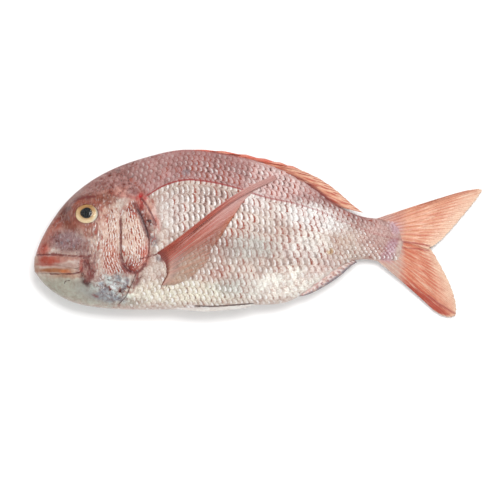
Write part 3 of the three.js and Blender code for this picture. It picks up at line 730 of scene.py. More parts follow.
def in_edit_mode(step):
    bpy.ops.object.mode_set(mode="EDIT")
    bpy.ops.mesh.select_all(action="SELECT")
    step()
    bpy.ops.object.mode_set(mode="OBJECT")


def slab(name, columns, rows):
    """A closed slab with a fine grid above and below. Returns it with each vertex's share across its columns
    and its rows, and whether the vertex is in the upper face."""
    deselect()
    bpy.ops.mesh.primitive_grid_add(x_subdivisions=columns, y_subdivisions=rows, size=1)
    piece = named(name)
    in_edit_mode(lambda: bpy.ops.mesh.extrude_region_move(TRANSFORM_OT_translate={"value": (0, 0, 1)}))
    at = coordinates(piece)
    return piece, at[:, 0] + 0.5, at[:, 1] + 0.5, at[:, 2] > 0.5


def ball(name, segments, rings):
    """A closed ball. Returns it with each vertex's share along its axis and round it."""
    deselect()
    bpy.ops.mesh.primitive_uv_sphere_add(segments=segments, ring_count=rings, radius=1)
    piece = named(name)
    at = coordinates(piece)
    along = np.arccos(np.clip(-at[:, 2], -1, 1)) / np.pi
    around = np.arctan2(at[:, 1], at[:, 0]) / (2 * np.pi) % 1
    around = np.where(around > 1 - 0.25 / segments, 0, around)
    return piece, along, around


def in_frame(points):
    """Points given in mm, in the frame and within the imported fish's box."""
    return np.clip(points * MM + ORIGIN, BOX_LOW, BOX_HIGH)


def shaped(piece, points):
    """Moves the vertices to the points, in mm, and turns the faces outwards."""
    piece.data.vertices.foreach_set("co", in_frame(points).ravel())
    piece.data.update()
    bpy.context.view_layer.objects.active = piece
    in_edit_mode(lambda: bpy.ops.mesh.normals_make_consistent(inside=False))
    bpy.ops.object.shade_smooth()
    return piece


def paint(piece, name, values):
    """Stores a colour or up to four numbers at each vertex, for the finish."""
    filled = np.ones((len(values), 4), np.float32)
    filled[:, : values.shape[1]] = values
    stored = piece.data.attributes.new(name, "FLOAT_COLOR", "POINT")
    stored.data.foreach_set("color", filled.ravel())


def lay_out(piece, name, u, v):
    """Gives a piece a UV map whose places are known at its vertices."""
    while piece.data.uv_layers:
        piece.data.uv_layers.remove(piece.data.uv_layers[0])
    layer = piece.data.uv_layers.new(name=name)
    corner = np.zeros(len(piece.data.loops), np.int32)
    piece.data.loops.foreach_get("vertex_index", corner)
    layer.data.foreach_set("uv", np.stack([u, v], -1)[corner].astype(np.float32).ravel())


def finished(piece, material):
    piece.data.materials.clear()
    piece.data.materials.append(material)
    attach(piece, BODY)
    return piece


def paint_skin(piece, colours, x, y, side):
    """Colours and lines of the skin. A piece that wraps both flanks gives a side for each vertex."""
    sides = np.broadcast_to(side, np.shape(x))
    tone = np.where((sides > 0)[:, None], skin_tone(colours, x, y, 1), skin_tone(colours, x, y, -1))
    lines = np.where((sides > 0)[:, None], skin_lines(x, y, 1), skin_lines(x, y, -1))
    paint(piece, "tone", tone)
    paint(piece, "lines", lines)
    paint(piece, "texture", skin_texture(x, y))


# ---------------------------------------------------------------- shader nodes


class Graph:
    """Nodes of one material or node group. Each call adds a node and returns what it puts out."""

    def __init__(self, tree):
        self.tree = tree

    def node(self, kind, inputs=None, **settings):
        made = self.tree.nodes.new("ShaderNode" + kind)
        for key, value in settings.items():
            setattr(made, key, value)
        for key, value in (inputs or {}).items():
            if isinstance(value, bpy.types.NodeSocket):
                self.tree.links.new(value, made.inputs[key])
            else:
                made.inputs[key].default_value = value
        return made

    def math(self, operation, first, second=0.0, third=0.0, clamp=False):
        made = self.node("Math", {0: first, 1: second, 2: third}, operation=operation, use_clamp=clamp)
        return made.outputs[0]

    def ease(self, value, low, high, start=0.0, end=1.0):
        """From start where the value is low to end where it is high."""
        inputs = {"Value": value, "From Min": low, "From Max": high, "To Min": start, "To Max": end}
        return self.node("MapRange", inputs, interpolation_type="SMOOTHSTEP").outputs[0]

    def mix(self, share, first, second, blend="MIX"):
        made = self.node("Mix", {0: share, 6: first, 7: second}, data_type="RGBA", blend_type=blend)
        return made.outputs[2]

    def noise(self, where, size, detail=3.0, roughness=0.55):
        """Noise whose grains are about size metres wide."""
        return self.noise_of({"Vector": where, "Scale": 1 / size, "Detail": detail, "Roughness": roughness})

    def place(self):
        return self.node("TexCoord").outputs["Object"]

    def stored(self, name):
        return self.node("Attribute", attribute_name=name)

    def apart(self, vector):
        return self.node("SeparateXYZ", {0: vector}).outputs

    def group(self, name, inputs):
        return self.node("Group", inputs, node_tree=bpy.data.node_groups[name]).outputs

    def noise_of(self, inputs, **settings):
        """Noise with all of its inputs given."""
        return self.node("TexNoise", inputs, **settings).outputs["Fac"]

    def bump(self, height, strength, distance):
        inputs = {"Height": height, "Strength": strength, "Distance": distance}
        return self.node("Bump", inputs).outputs[0]

    def finish(self, inputs):
        surface = self.node("BsdfPrincipled", inputs)
        out = self.node("OutputMaterial")
        self.tree.links.new(surface.outputs[0], out.inputs[0])


def new_group(name, inputs, outputs):
    """An empty node group. Returns its graph, what it is given and a function that takes what it puts out."""
    tree = bpy.data.node_groups.new(name, "ShaderNodeTree")
    for label, kind in inputs:
        tree.interface.new_socket(label, in_out="INPUT", socket_type="NodeSocket" + kind)
    for label, kind in outputs:
        tree.interface.new_socket(label, in_out="OUTPUT", socket_type="NodeSocket" + kind)
    graph = Graph(tree)
    entry = tree.nodes.new("NodeGroupInput")
    leave = tree.nodes.new("NodeGroupOutput")

    def close(values):
        for label, value in values.items():
            tree.links.new(value, leave.inputs[label])

    return graph, entry.outputs, close


def new_material(name):
    made = bpy.data.materials.new(name)
    made.use_nodes = True
    made.node_tree.nodes.clear()
    return made, Graph(made.node_tree)


def build_groups(colours):
    """The effects that more than one finish uses."""
    graph, given, close = new_group(
        "Wet mottle",
        [("Colour", "Color"), ("Grain", "Float"), ("Amount", "Float")],
        [("Colour", "Color"), ("Height", "Float"), ("Roughness", "Float")],
    )
    where = graph.place()
    size = graph.math("DIVIDE", 1.0, given["Grain"])
    fine = graph.noise_of({"Vector": where, "Scale": size, "Detail": 4.0, "Roughness": 0.62})
    broad = graph.noise(where, 0.008, 3)
    light = graph.math("MULTIPLY_ADD", fine, 0.65, graph.math("MULTIPLY", broad, 0.35))
    light = graph.math("MULTIPLY", graph.math("SUBTRACT", light, 0.5), given["Amount"])
    # Red changes the least, so that the dark grains are warm.
    tints = [graph.math("MULTIPLY_ADD", light, change, 1.0) for change in (2.6, 4.0, 4.2)]
    tint = graph.node("CombineColor", dict(enumerate(tints))).outputs[0]
    close({
        "Colour": graph.mix(1.0, given["Colour"], tint, "MULTIPLY"),
        "Height": fine,
        "Roughness": graph.ease(broad, 0.3, 0.7, 0.24, 0.42),
    })

    graph, given, close = new_group(
        "Skin lines", [("Colour", "Color")], [("Colour", "Color"), ("Depth", "Float")]
    )
    lines = graph.stored("lines")
    red, dark, line = graph.apart(lines.outputs["Vector"])
    grain = graph.noise(graph.place(), 0.0012, 2)
    unsure = graph.math("MULTIPLY_ADD", grain, 0.9, -0.45)

    def on_line(away, full, none):
        return graph.ease(graph.math("ADD", away, unsure), full, none, 1.0, 0.0)

    red_mask = on_line(red, 0.35, 1.5)
    dark_mask = on_line(dark, 0.35, 1.25)
    along, _, _ = graph.apart(graph.place())
    fade = graph.math("MULTIPLY", graph.ease(along, -0.06, 0.1, 0.95, 0.25), lines.outputs["Alpha"])
    line_mask = graph.math("MULTIPLY", on_line(graph.math("ABSOLUTE", line), 0.25, 1.1), fade)
    # The crease lines turn wine and soot: the red of the gill opening, painted shade in the grooves and under
    # the plates' free edges, and the painted shadow of the pelvic fin's edge.
    made = graph.mix(graph.math("MULTIPLY", red_mask, 0.85), given["Colour"], (*colours.wine, 1))
    made = graph.mix(graph.math("MULTIPLY", dark_mask, 0.85), made, (*colours.soot, 1))
    made = graph.mix(line_mask, made, (*colours.lateral, 1))
    close({"Colour": made, "Depth": graph.math("MAXIMUM", red_mask, dark_mask)})


def skin_finish(colours):
    """Wet bare skin of the head and of the body under the scales."""
    made, graph = new_material("wet_skin")
    texture = graph.stored("texture").outputs
    blotched, streaked, specked = graph.apart(texture["Vector"])
    tone = graph.stored("tone").outputs["Color"]
    mottle = graph.group("Wet mottle", {"Colour": tone, "Grain": 0.0026, "Amount": blotched})
    where = graph.place()
    drawn = graph.node("VectorMath", {0: where, 1: (1.0, 0.3, 1.0)}, operation="MULTIPLY").outputs[0]
    streaks = graph.noise(drawn, 0.0019, 2, 0.6)
    gaps = graph.math("MULTIPLY", graph.ease(streaks, 0.52, 0.64, 0.0, 0.62), streaked)
    pale = graph.math("MULTIPLY", graph.ease(streaks, 0.36, 0.48, 0.55, 0.0), streaked)
    body = graph.mix(gaps, mottle["Colour"], (*colours.pocket_red, 1))
    body = graph.mix(pale, body, (*colours.cheek, 1))
    specks = graph.noise(where, 0.0013, 3, 0.7)
    speck_mask = graph.math("MULTIPLY", graph.ease(specks, 0.57, 0.66, 0.0, 0.7), specked)
    body = graph.mix(speck_mask, body, (*colours.soot, 1))
    shifted = graph.node("VectorMath", {0: drawn, 1: (0.1, 0.2, 0.3)}, operation="ADD").outputs[0]
    # Painted highlights: white glints of the wet skin and its tiny scales.
    glints = graph.noise(shifted, 0.0014, 2, 0.7)
    glint_mask = graph.math("MULTIPLY", graph.ease(glints, 0.57, 0.68, 0.0, 0.7), texture["Alpha"])
    body = graph.mix(glint_mask, body, (*colours.white_and_glint, 1))
    lines = graph.group("Skin lines", {"Colour": body})
    pores = graph.noise(where, 0.0009, 2)
    height = graph.math("MULTIPLY_ADD", mottle["Height"], 0.6, graph.math("MULTIPLY", pores, 0.4))
    height = graph.math("MULTIPLY_ADD", graph.math("SUBTRACT", pale, gaps), 0.8, height)
    graph.finish({
        "Base Color": lines["Colour"],
        "Roughness": mottle["Roughness"],
        "Specular IOR Level": 0.25,
        "Coat Weight": 0.12,
        "Coat Roughness": 0.1,
        "Normal": graph.bump(height, 0.5, 0.0008),
    })
    return made


def scale_finish(colours):
    """Silvery scales, each with a dark pocket in front, partly painted shade, and a painted highlight
    under it.
    """
    made, graph = new_material("silver_scales")
    u, raw_v, _ = graph.apart(graph.node("UVMap", uv_map="Scale").outputs[0])
    v = graph.math("MULTIPLY_ADD", raw_v, 2.0, -1.0)
    printed = graph.stored("print")
    shaded_pocket, highlight_strength, redness = graph.apart(printed.outputs["Vector"])
    chance = printed.outputs["Alpha"]
    tone = graph.stored("tone").outputs["Color"]
    mottle = graph.group("Wet mottle", {"Colour": tone, "Grain": 0.0011, "Amount": 0.9})
    side = graph.math("POWER", graph.math("ABSOLUTE", v), 2.3)
    grain = graph.noise(graph.place(), 0.0009, 2)
    unsure = graph.math("MULTIPLY_ADD", grain, 0.36, -0.18)
    # How far back from the free edge of the scale in front of it a point lies.
    tilted = graph.math("MULTIPLY_ADD", v, 0.05, unsure)
    behind = graph.math("ADD", graph.math("MULTIPLY_ADD", side, 0.14, u), tilted)
    straight = graph.math("MULTIPLY_ADD", side, -0.05, behind)
    wide = graph.math("MULTIPLY_ADD", shaded_pocket, 0.12, 0.47)
    breaks = graph.noise(graph.place(), 0.0022, 4, 0.7)

    def uneven(by_scale, broken):
        """A strength that differs from scale to scale and breaks up within each."""
        return graph.math("MULTIPLY", graph.ease(chance, *by_scale), graph.ease(breaks, *broken))

    # The dark stroke at the front of each scale's bare part: its reddish brown pocket, with painted shade under
    # the edge of the scale in front.
    stroke = graph.math("SUBTRACT", 1.0, graph.ease(graph.math("SUBTRACT", straight, wide), 0.0, 0.08))
    strength = uneven((0, 1, 0.65, 1.3), (0.4, 0.6, 0.35, 1.3))
    stroke = graph.math("MULTIPLY", stroke, graph.math("MULTIPLY", shaded_pocket, strength), clamp=True)
    # A painted highlight: a white gleam on the silver under the stroke.
    far = graph.math("POWER", graph.math("DIVIDE", graph.math("SUBTRACT", behind, 0.9), 0.13), 2.0)
    low = graph.math("POWER", graph.math("DIVIDE", graph.math("ADD", v, 0.1), 0.85), 2.0)
    painted_highlight = graph.ease(graph.math("ADD", far, low), 0.4, 1.1, 1.0, 0.0)
    strength = uneven((0, 1, 1.3, 0.6), (0.36, 0.6, 1.2, 0.2))
    painted_highlight = graph.math("MULTIPLY", painted_highlight, graph.math("MULTIPLY", highlight_strength, strength), clamp=True)
    # The stroke's colour, for the pocket and its painted shade at once.
    dark = graph.mix(graph.ease(chance, 0.3, 0.8), (*colours.shaded_pocket, 1), (*colours.pocket_red, 1))
    ink = graph.mix(redness, (*colours.pocket_pale, 1), dark)
    body = graph.mix(stroke, mottle["Colour"], ink)
    body = graph.mix(painted_highlight, body, (*colours.white_and_glint, 1))
    body = graph.mix(graph.ease(grain, 0.62, 0.72, 0.0, 0.5), body, ink)
    lines = graph.group("Skin lines", {"Colour": body})
    rings = graph.math("SINE", graph.math("MULTIPLY", behind, 90.0))
    height = graph.math("MULTIPLY_ADD", rings, 0.06, grain)
    graph.finish({
        "Base Color": lines["Colour"],
        "Roughness": graph.math("MULTIPLY_ADD", stroke, 0.3, graph.ease(grain, 0.3, 0.7, 0.34, 0.48)),
        "Specular IOR Level": 0.2,
        "Coat Weight": graph.math("MULTIPLY_ADD", stroke, -0.1, 0.1, clamp=True),
        "Coat Roughness": 0.15,
        "Normal": graph.bump(height, 0.25, 0.0003),
    })
    return made


def fin_finish(colours):
    """Thin wet membrane stretched between darker rays that branch towards the rim."""
    made, graph = new_material("fin_membrane")
    place_u, along, _ = graph.apart(graph.node("UVMap", uv_map="Fin").outputs[0])
    rays = graph.stored("rays")
    ray_colour = rays.outputs["Color"]
    tone = graph.stored("tone")
    membrane = tone.outputs["Color"]

    def comb(times):
        """1 along the middle of each ray and 0 between them, for this many times as many rays."""
        turn = graph.math("MULTIPLY", place_u, times * np.pi)
        return graph.math("ABSOLUTE", graph.math("COSINE", turn))

    once, twice, thrice = comb(1.0), comb(2.0), comb(4.0)
    branching = graph.mix(graph.ease(along, 0.35, 0.55), once, twice)
    branching = graph.mix(graph.ease(along, 0.68, 0.85), branching, thrice)
    drawn = {0: graph.math("MULTIPLY", place_u, 1.6), 1: graph.math("MULTIPLY", along, 2.2)}
    stretched = graph.node("CombineXYZ", drawn).outputs[0]
    streaks = graph.noise_of({"Vector": stretched, "Scale": 2.4, "Detail": 5.0, "Roughness": 0.65})
    ray = graph.ease(branching, 0.35, 0.95)
    ray = graph.math("MULTIPLY", ray, graph.ease(streaks, 0.3, 0.62, 0.25, 1.0))
    body = graph.mix(ray, membrane, ray_colour)
    streaked = tone.outputs["Alpha"]
    veined = ((3.0, 0.52, 0.75, colours.fin_tip), (9.0, 0.54, 0.6, colours.fin_ray))
    for shift, low, strongest, other in veined:
        inputs = {"Vector": stretched, "W": shift, "Scale": 1.3, "Detail": 4.0, "Roughness": 0.6}
        veins = graph.noise_of(inputs, noise_dimensions="4D")
        vein_mask = graph.math("MULTIPLY", graph.ease(veins, low, low + 0.14, 0.0, strongest), streaked)
        body = graph.mix(vein_mask, body, (*other, 1))
    mottle = graph.group("Wet mottle", {"Colour": body, "Grain": 0.0016, "Amount": 0.25})
    joints = graph.math("SINE", graph.math("MULTIPLY", along, 150.0))
    height = graph.math("MULTIPLY_ADD", branching, 1.0, graph.math("MULTIPLY", joints, 0.06))
    height = graph.math("MULTIPLY_ADD", mottle["Height"], 0.5, height)
    web = rays.outputs["Alpha"]
    solid = graph.math("MULTIPLY_ADD", web, 0.32, 0.68)
    thin = graph.math("MULTIPLY", graph.math("SUBTRACT", 1.0, ray), graph.math("SUBTRACT", 1.0, web))
    graph.finish({
        "Base Color": mottle["Colour"],
        "Roughness": mottle["Roughness"],
        "Alpha": graph.math("SUBTRACT", solid, graph.math("MULTIPLY", thin, 0.3)),
        "Specular IOR Level": 0.25,
        "Coat Weight": 0.1,
        "Coat Roughness": 0.2,
        "Normal": graph.bump(height, 0.5, 0.0004),
    })
    return made


def eye_finish(colours):
    """Pale gold iris, darker above and silvery at the rim, round a pupil with a point towards the snout."""
    made, graph = new_material("iris")
    across, up, _ = graph.apart(graph.node("UVMap", uv_map="Iris").outputs[0])
    across = graph.math("MULTIPLY_ADD", across, 2.0, -1.0)
    up = graph.math("MULTIPLY_ADD", up, 2.0, -1.0)
    square = graph.math("ADD", graph.math("MULTIPLY", across, across), graph.math("MULTIPLY", up, up))
    radius = graph.math("SQRT", square)
    towards = graph.math("DIVIDE", graph.math("MULTIPLY", across, -1.0), graph.math("MAXIMUM", radius, 0.01))
    point = graph.math("POWER", graph.math("MAXIMUM", towards, 0.0), 5.0)
    pupil_edge = graph.math("SUBTRACT", radius, graph.math("MULTIPLY", point, 0.09))
    where = graph.node("CombineXYZ", {0: across, 1: up, 2: radius}).outputs[0]
    fibres = graph.noise_of({"Vector": where, "Scale": 3.4, "Detail": 5.0})
    shade = graph.ease(graph.math("MULTIPLY_ADD", fibres, 0.7, up), -0.1, 1.0)
    body = graph.mix(shade, (*colours.iris, 1), (*colours.iris_shade, 1))
    body = graph.mix(graph.ease(fibres, 0.5, 0.75, 0.0, 0.35), body, (*colours.iris_shade, 1))
    silver = graph.math("MULTIPLY", graph.ease(radius, 0.72, 0.92), graph.ease(across, 0.1, 0.7))
    body = graph.mix(silver, body, (*colours.iris_silver, 1))
    body = graph.mix(graph.ease(pupil_edge, 0.5, 0.72, 0.75, 0.0), body, (*colours.iris_shade, 1))
    body = graph.mix(graph.ease(radius, 0.93, 1.0, 0.0, 0.8), body, (*colours.rust, 1))
    body = graph.mix(graph.ease(pupil_edge, 0.455, 0.5, 1.0, 0.0), body, (*colours.pupil, 1))
    graph.finish({
        "Base Color": body,
        "Roughness": graph.ease(fibres, 0.3, 0.7, 0.25, 0.4),
        "Specular IOR Level": 0.1,
        "Normal": graph.bump(fibres, 0.3, 0.0002),
    })
    return made


def cornea_finish():
    """Clear wet dome over the iris."""
    made, graph = new_material("cornea")
    film = graph.noise(graph.place(), 0.004, 2)
    graph.finish({
        "Base Color": (0.97, 0.98, 0.97, 1),
        "Roughness": 0.03,
        "Transmission Weight": 1.0,
        "IOR": 1.2,
        "Normal": graph.bump(film, 0.05, 0.0003),
    })
    return made


def table_finish(colours):
    """Plain pale surface with the faintest unevenness."""
    made, graph = new_material("pale_table")
    base = (*colours.table, 1)
    faint = graph.noise(graph.place(), 0.05, 3)
    body = graph.mix(graph.ease(faint, 0.3, 0.7, 0.0, 0.03), base, (0.8, 0.8, 0.8, 1))
    graph.finish({"Base Color": body, "Roughness": 0.7, "Specular IOR Level": 0.2})
    return made


def material(name):
    return bpy.data.materials[name]


# ---------------------------------------------------------------- body skin

SKIN_SEGMENTS = 160
SKIN_RINGS = 420
UPPER_SHARE = 0.6  # of the vertices round the body lie on the upper flank
EDGE_CLOSENESS = 0.7  # how the vertices gather at the back and belly
END_CLOSENESS = 0.8  # and at the snout and tail
SKIN_OVER_TABLE = 0.45  # the scales under the fish lie in this gap
SKIN_UNDER_SCALES = 0.4  # how far the skin lies under the outline where it is scaled
NOSTRILS = (((20.6, 35.2), 3.2, 1.3), ((15.8, 30), 1.6, 1.1))  # middle, half length and half width
NOSTRIL_DEPTH = 1.3
SOCKET_DEPTH = 3.5
HEAD_UNEVENNESS = 0.2


def skin_relief(x, y, sizes):
    """Depth of the creases, the pits of the nostrils and the hollow that each eye sits in."""
    depth = sizes.crease_depth / MM
    lift = -depth * np.exp(-distance_to(SUNK_CREASES, x, y) ** 2 / 2)
    bare = 1 - scaled_share(x, y)
    uneven = HEAD_UNEVENNESS * ripple(x, y, 9, 12) * bare * smooth(x, 4, 20)
    lift = lift + uneven - SKIN_UNDER_SCALES * (1 - bare)
    for (x0, y0), long, wide in NOSTRILS:
        along = ((x - x0) + (y - y0)) / np.sqrt(2) / long
        across = ((y - y0) - (x - x0)) / np.sqrt(2) / wide
        lift = lift - NOSTRIL_DEPTH * np.exp(-((along**2 + across**2) ** 1.5))
    return lift - SOCKET_DEPTH * (1 - smooth(eye_share(x, y), 0.8, 1.0))


def gathered_at_ends(share, closeness):
    """Shares from 0 to 1, moved closer together near 0 and 1."""
    return lerp(share, (1 - np.cos(np.pi * share)) / 2, closeness)


def make_skin(sizes, colours):
    piece, along, around = ball("bream_skin", SKIN_SEGMENTS, SKIN_RINGS)
    x = BODY_LENGTH * gathered_at_ends(along, END_CLOSENESS)
    upper = around <= UPPER_SHARE
    share = np.where(upper, around / UPPER_SHARE, (1 - around) / (1 - UPPER_SHARE))
    v = 1 - gathered_at_ends(share, EDGE_CLOSENESS)
    y = lerp(belly(x), back(x), v)
    side = np.where(upper, 1, -1)
    edge = smooth(np.sin(np.pi * v), 0.0, 0.25)
    points = skin(x, y, side, skin_relief(x, y, sizes) * edge)
    points[:, 2] = np.where(upper, points[:, 2], np.maximum(points[:, 2], SKIN_OVER_TABLE))
    shaped(piece, points)
    paint_skin(piece, colours, x, y, side)
    finished(piece, material("wet_skin"))
    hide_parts("fish")


# ---------------------------------------------------------------- plates of the head

PLATES = {  # front line, rear line, height of the free rear edge, in the order in which they overlap
    "shoulder": (
        [(80, 53), (80.5, 46), (83, 38), (86, 30), (89, 24)],
        [(84.5, 54), (89, 47.5), (92.8, 39), (96, 30.6), (93.5, 25)],
        0.9,
    ),
    "gill_cover": (
        [(71, 53), (69, 40), (68.5, 24), (68.5, 8), (71, 1), (75, -3.5)],
        [(79, 53), (82, 44), (86, 33), (90, 21), (88.6, 5), (78.5, -5.4)],
        1.3,
    ),
    "cheek": (
        [(54, 50), (56, 38), (54, 22), (50, 6), (50, -8), (54, -20), (56, -29.5)],
        [(66.5, 49), (68, 38), (67.8, 22), (68.4, 7), (76.4, -6.4), (74.6, -18), (66.2, -29.8)],
        1.7,
    ),
}
PLATE_START = 0.5  # how deep the front of a plate lies under the skin
PLATE_SINK = 1.6  # and its lower face
PLATE_GRID = (110, 30)
PLATE_CROWDING = 1.3  # how its rows crowd towards the free edge
PLATE_ROUNDING = 0.35
PLATE_UNEVENNESS = 0.12


def plate_place(form, s, t):
    """x, y and lift of a plate's upper face, s from top to foot and t from the front to the free edge."""
    front, rear, rise = PLATES[form]
    at = lerp(curve(front)(s), curve(rear)(s), np.asarray(t)[..., None])
    ends = smooth(s, 0, 0.2) * smooth(1 - s, 0, 0.15)
    lift = lerp(-PLATE_START, rise, smooth(t, 0, 0.8) * ends)
    rounded = PLATE_ROUNDING * smooth(t, 0.9, 1.0) ** 2
    return at[..., 0], at[..., 1], lift - rounded


def make_plate(form, side_name, colours):
    side = SIDES[side_name]
    piece, s, t, upper = slab(f"{form}_{side_name}", *PLATE_GRID)
    t = 1 - (1 - t) ** PLATE_CROWDING
    x, y, lift = plate_place(form, s, t)
    lift = lift + PLATE_UNEVENNESS * ripple(x, y, 6, 21)
    points = over_skin(x, y, side, np.where(upper, lift, -PLATE_SINK))
    shaped(piece, points)
    paint_skin(piece, colours, x, y, side)
    finished(piece, material("wet_skin"))


# ---------------------------------------------------------------- lips

LIP_FRONT = 1.2  # how far behind the snout's tip the lips meet
LIP_GRID = (40, 150)
LIP_THIN = 0.62  # share of its thickness that a lip has at the front
LIP_SQUARENESS = 0.8  # the lower, the squarer
LIPS = {  # where it ends, its upper edge, its lower edge and how much of the full thickness it has
    "upper_lip": (
        37.8,
        profile([(0, 7.4), (10, 7.6), (20, 7.1), (30, 6.4), (38, 5.9)]),
        profile([(0, 0.1), (12, 0.3), (20, -0.5), (28, -2.2), (34, -3.4), (38, -4.0)]),
        1.0,
    ),
    "lower_lip": (
        36.8,
        profile([(0, 0.7), (12, 1.2), (20, 0.5), (28, -1.2), (37, -2.8)]),
        profile([(0, -6.0), (8, -6.4), (20, -6.5), (37, -6.6)]),
        0.85,
    ),
}


def make_lip(name, sizes, colours):
    end, top, foot, share_of_full = LIPS[name]
    piece, along, around = ball(name, *LIP_GRID)
    reach = 2 * along - 1  # from -1 at the upper flank's corner to 1 at the lower flank's
    side = np.where(reach <= 0, 1, -1)

    def path(where):
        """x and z of the lip's middle line, from one corner round the snout to the other."""
        x = end * where**2
        z = axis_height(x) - np.sign(where) * stand_out(x, (top(x) + foot(x)) / 2)
        return x + LIP_FRONT * (1 - np.abs(where)), z

    x, z = path(reach)
    step = 0.004
    (x0, z0), (x1, z1) = path(reach - step), path(reach + step)
    out = np.stack([z1 - z0, x0 - x1], -1)
    out /= np.maximum(np.linalg.norm(out, axis=-1, keepdims=True), 1e-9)
    taper = np.sqrt(np.clip(1 - smooth(np.abs(reach), 0.86, 1.0) ** 2, 0, 1))
    turn = 2 * np.pi * around
    depth = sizes.lip_thickness / MM * share_of_full * lerp(LIP_THIN, 1, smooth(x, 1, 12)) * taper
    fullness = np.sign(np.cos(turn)) * np.abs(np.cos(turn)) ** LIP_SQUARENESS
    middle, half = (top(x) + foot(x)) / 2, (top(x) - foot(x)) / 2
    y = middle + half * lerp(0.25, 1, taper) * np.sin(turn)
    x = x + out[:, 0] * depth * fullness
    z = pressed(z + out[:, 1] * depth * fullness)
    shaped(piece, np.stack([x, y, z], -1))
    paint_skin(piece, colours, np.maximum(x, 0), y, side)
    finished(piece, material("wet_skin"))


# ---------------------------------------------------------------- eyes

EYE_SEGMENTS = 72
EYEBALL_RINGS = 56
CORNEA_RINGS = 40
EYEBALL_RADIUS = 9.0
EYE_BACK = 8.4  # depth of the round back of the eyeball
IRIS_HEIGHT = 0.55
PUPIL_HOLLOW = 0.5  # share of that height by which the pupil lies lower
CORNEA_RIM = 0.35
CORNEA_GAP = 0.05
LID_SEGMENTS = 120
LID_RINGS = 20
LID_GAP = 0.2  # from the opening to the middle of the lid's roll
LID_OUT = 2.6  # how far the roll reaches over the skin and over the eye
LID_IN = 0.7
LID_HEIGHT = 0.95
LID_DEPTH = 1.5
LID_LEAN = 0.35  # how far its outer side leans into the skin


def eye_frame(side):
    """The middle of the eye's rim, and its axes: along the body, towards the back, and the way it looks."""
    centre = skin(np.array(EYE_CENTRE[0]), np.array(EYE_CENTRE[1]), side, -0.5)
    looks = np.array([-np.tan(EYE_TURN), np.tan(EYE_TILT), side])
    looks /= np.linalg.norm(looks)
    along = np.cross([0, 1, 0], looks * side)
    along /= np.linalg.norm(along)
    return centre, along, np.cross(looks * side, along), looks


def make_eye(side_name, sizes, colours):
    side = SIDES[side_name]
    centre, along, up, looks = eye_frame(side)

    def placed(radius, turn, height):
        """Points at a distance and turn round the way that the eye looks, and a height over its rim."""
        flat = radius[:, None] * (np.cos(turn)[:, None] * along + np.sin(turn)[:, None] * up)
        return centre + flat + height[:, None] * looks

    piece, share, around = ball(f"eyeball_{side_name}", EYE_SEGMENTS, EYEBALL_RINGS)
    turn = 2 * np.pi * around
    angle = np.pi * (1 - share)
    front = angle <= np.pi / 2
    radius = EYEBALL_RADIUS * np.where(front, angle / (np.pi / 2), np.sin(angle))
    flat = radius / EYEBALL_RADIUS
    iris = IRIS_HEIGHT * (1 - flat**2) * (1 - PUPIL_HOLLOW * np.exp(-((flat / 0.45) ** 4)))
    height = np.where(front, iris, EYE_BACK * np.cos(angle))
    shaped(piece, placed(radius, turn, height))
    look = np.where(front, flat, 1) / 2
    lay_out(piece, "Iris", 0.5 + look * np.cos(turn), 0.5 + look * np.sin(turn))
    finished(piece, material("iris"))
    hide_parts(f"eye_{side_name}")

    piece, share, around = ball(f"cornea_{side_name}", EYE_SEGMENTS, CORNEA_RINGS)
    turn = 2 * np.pi * around
    angle = np.pi * (1 - share)
    flat = np.sin(angle)
    outer = CORNEA_RIM + (sizes.cornea_bulge / MM) * (1 - flat**2)
    inner = CORNEA_RIM + (IRIS_HEIGHT + CORNEA_GAP) * (1 - flat**2)
    shaped(piece, placed(EYEBALL_RADIUS * flat, turn, np.where(angle <= np.pi / 2, outer, inner)))
    finished(piece, material("cornea"))

    deselect()
    bpy.ops.mesh.primitive_torus_add(
        major_segments=LID_SEGMENTS, minor_segments=LID_RINGS, major_radius=1, minor_radius=0.25
    )
    piece = named(f"eyelids_{side_name}")
    at = coordinates(piece)
    turn = np.arctan2(at[:, 1], at[:, 0])
    roll = np.arctan2(at[:, 2], np.hypot(at[:, 0], at[:, 1]) - 1)
    out = np.cos(roll) * np.where(np.cos(roll) > 0, LID_OUT, LID_IN)
    (x0, y0), (width, tall) = EYE_OPENING
    x = x0 + (width + LID_GAP + out) * np.cos(turn)
    y = y0 + (tall + LID_GAP + out) * np.sin(turn)
    rise = np.sin(roll) * np.where(np.sin(roll) > 0, LID_HEIGHT, LID_DEPTH)
    lift = rise - LID_LEAN * np.maximum(np.cos(roll), 0)
    shaped(piece, over_skin(x, y, side, lift))
    paint_skin(piece, colours, x, y, side)
    finished(piece, material("wet_skin"))


# ---------------------------------------------------------------- scales

SCALE_SEEDS = {"upper": 31, "lower": 32}
ROWS_OVER_LINE = 8
ROWS_UNDER_LINE = 19
ROW_HEIGHTS = (5.0, 7.5, 5.6)  # from row to row over the line, under it, and from LOW_ROW on
LOW_ROW = 8
ROW_CROWDING = ([185, 235, 275], [1, 0.9, 0.62])  # where, and the share of its height that a row has there
SINK_START = 150.0  # from here back the lateral line sinks towards the tail
SINK_LIMIT = 25  # how much less than the line the lowest rows sink, at the most
STRAIGHT_ROW = 7  # from this row down, a row doesn't follow the line
FIRST_COLUMN = 58.0
COLUMN_CROWDING = ([60, 110, 160, 210, 240, 275], [0.92, 0.94, 1.0, 0.95, 0.88, 0.76])
LEVEL_ROWS = 6
ROW_SHIFT_REAR = 0.45  # scales
ROW_SHIFT_ABOVE = -0.2
SCALE_OVERLAP = 0.56  # half the height of a scale, in rows
LENGTH_CHANGE = ([60, 100, 240, 286], [0.9, 1, 1, 0.7])
LIFT_CHANGE = ([60, 100, 130, 235, 270, 286], [0.3, 0.6, 1, 1, 0.6, 0.3])
LIFT_SCATTER = 0.3
PLACE_SCATTER = 0.2  # mm
ROW_SCATTER = 0.04  # rows
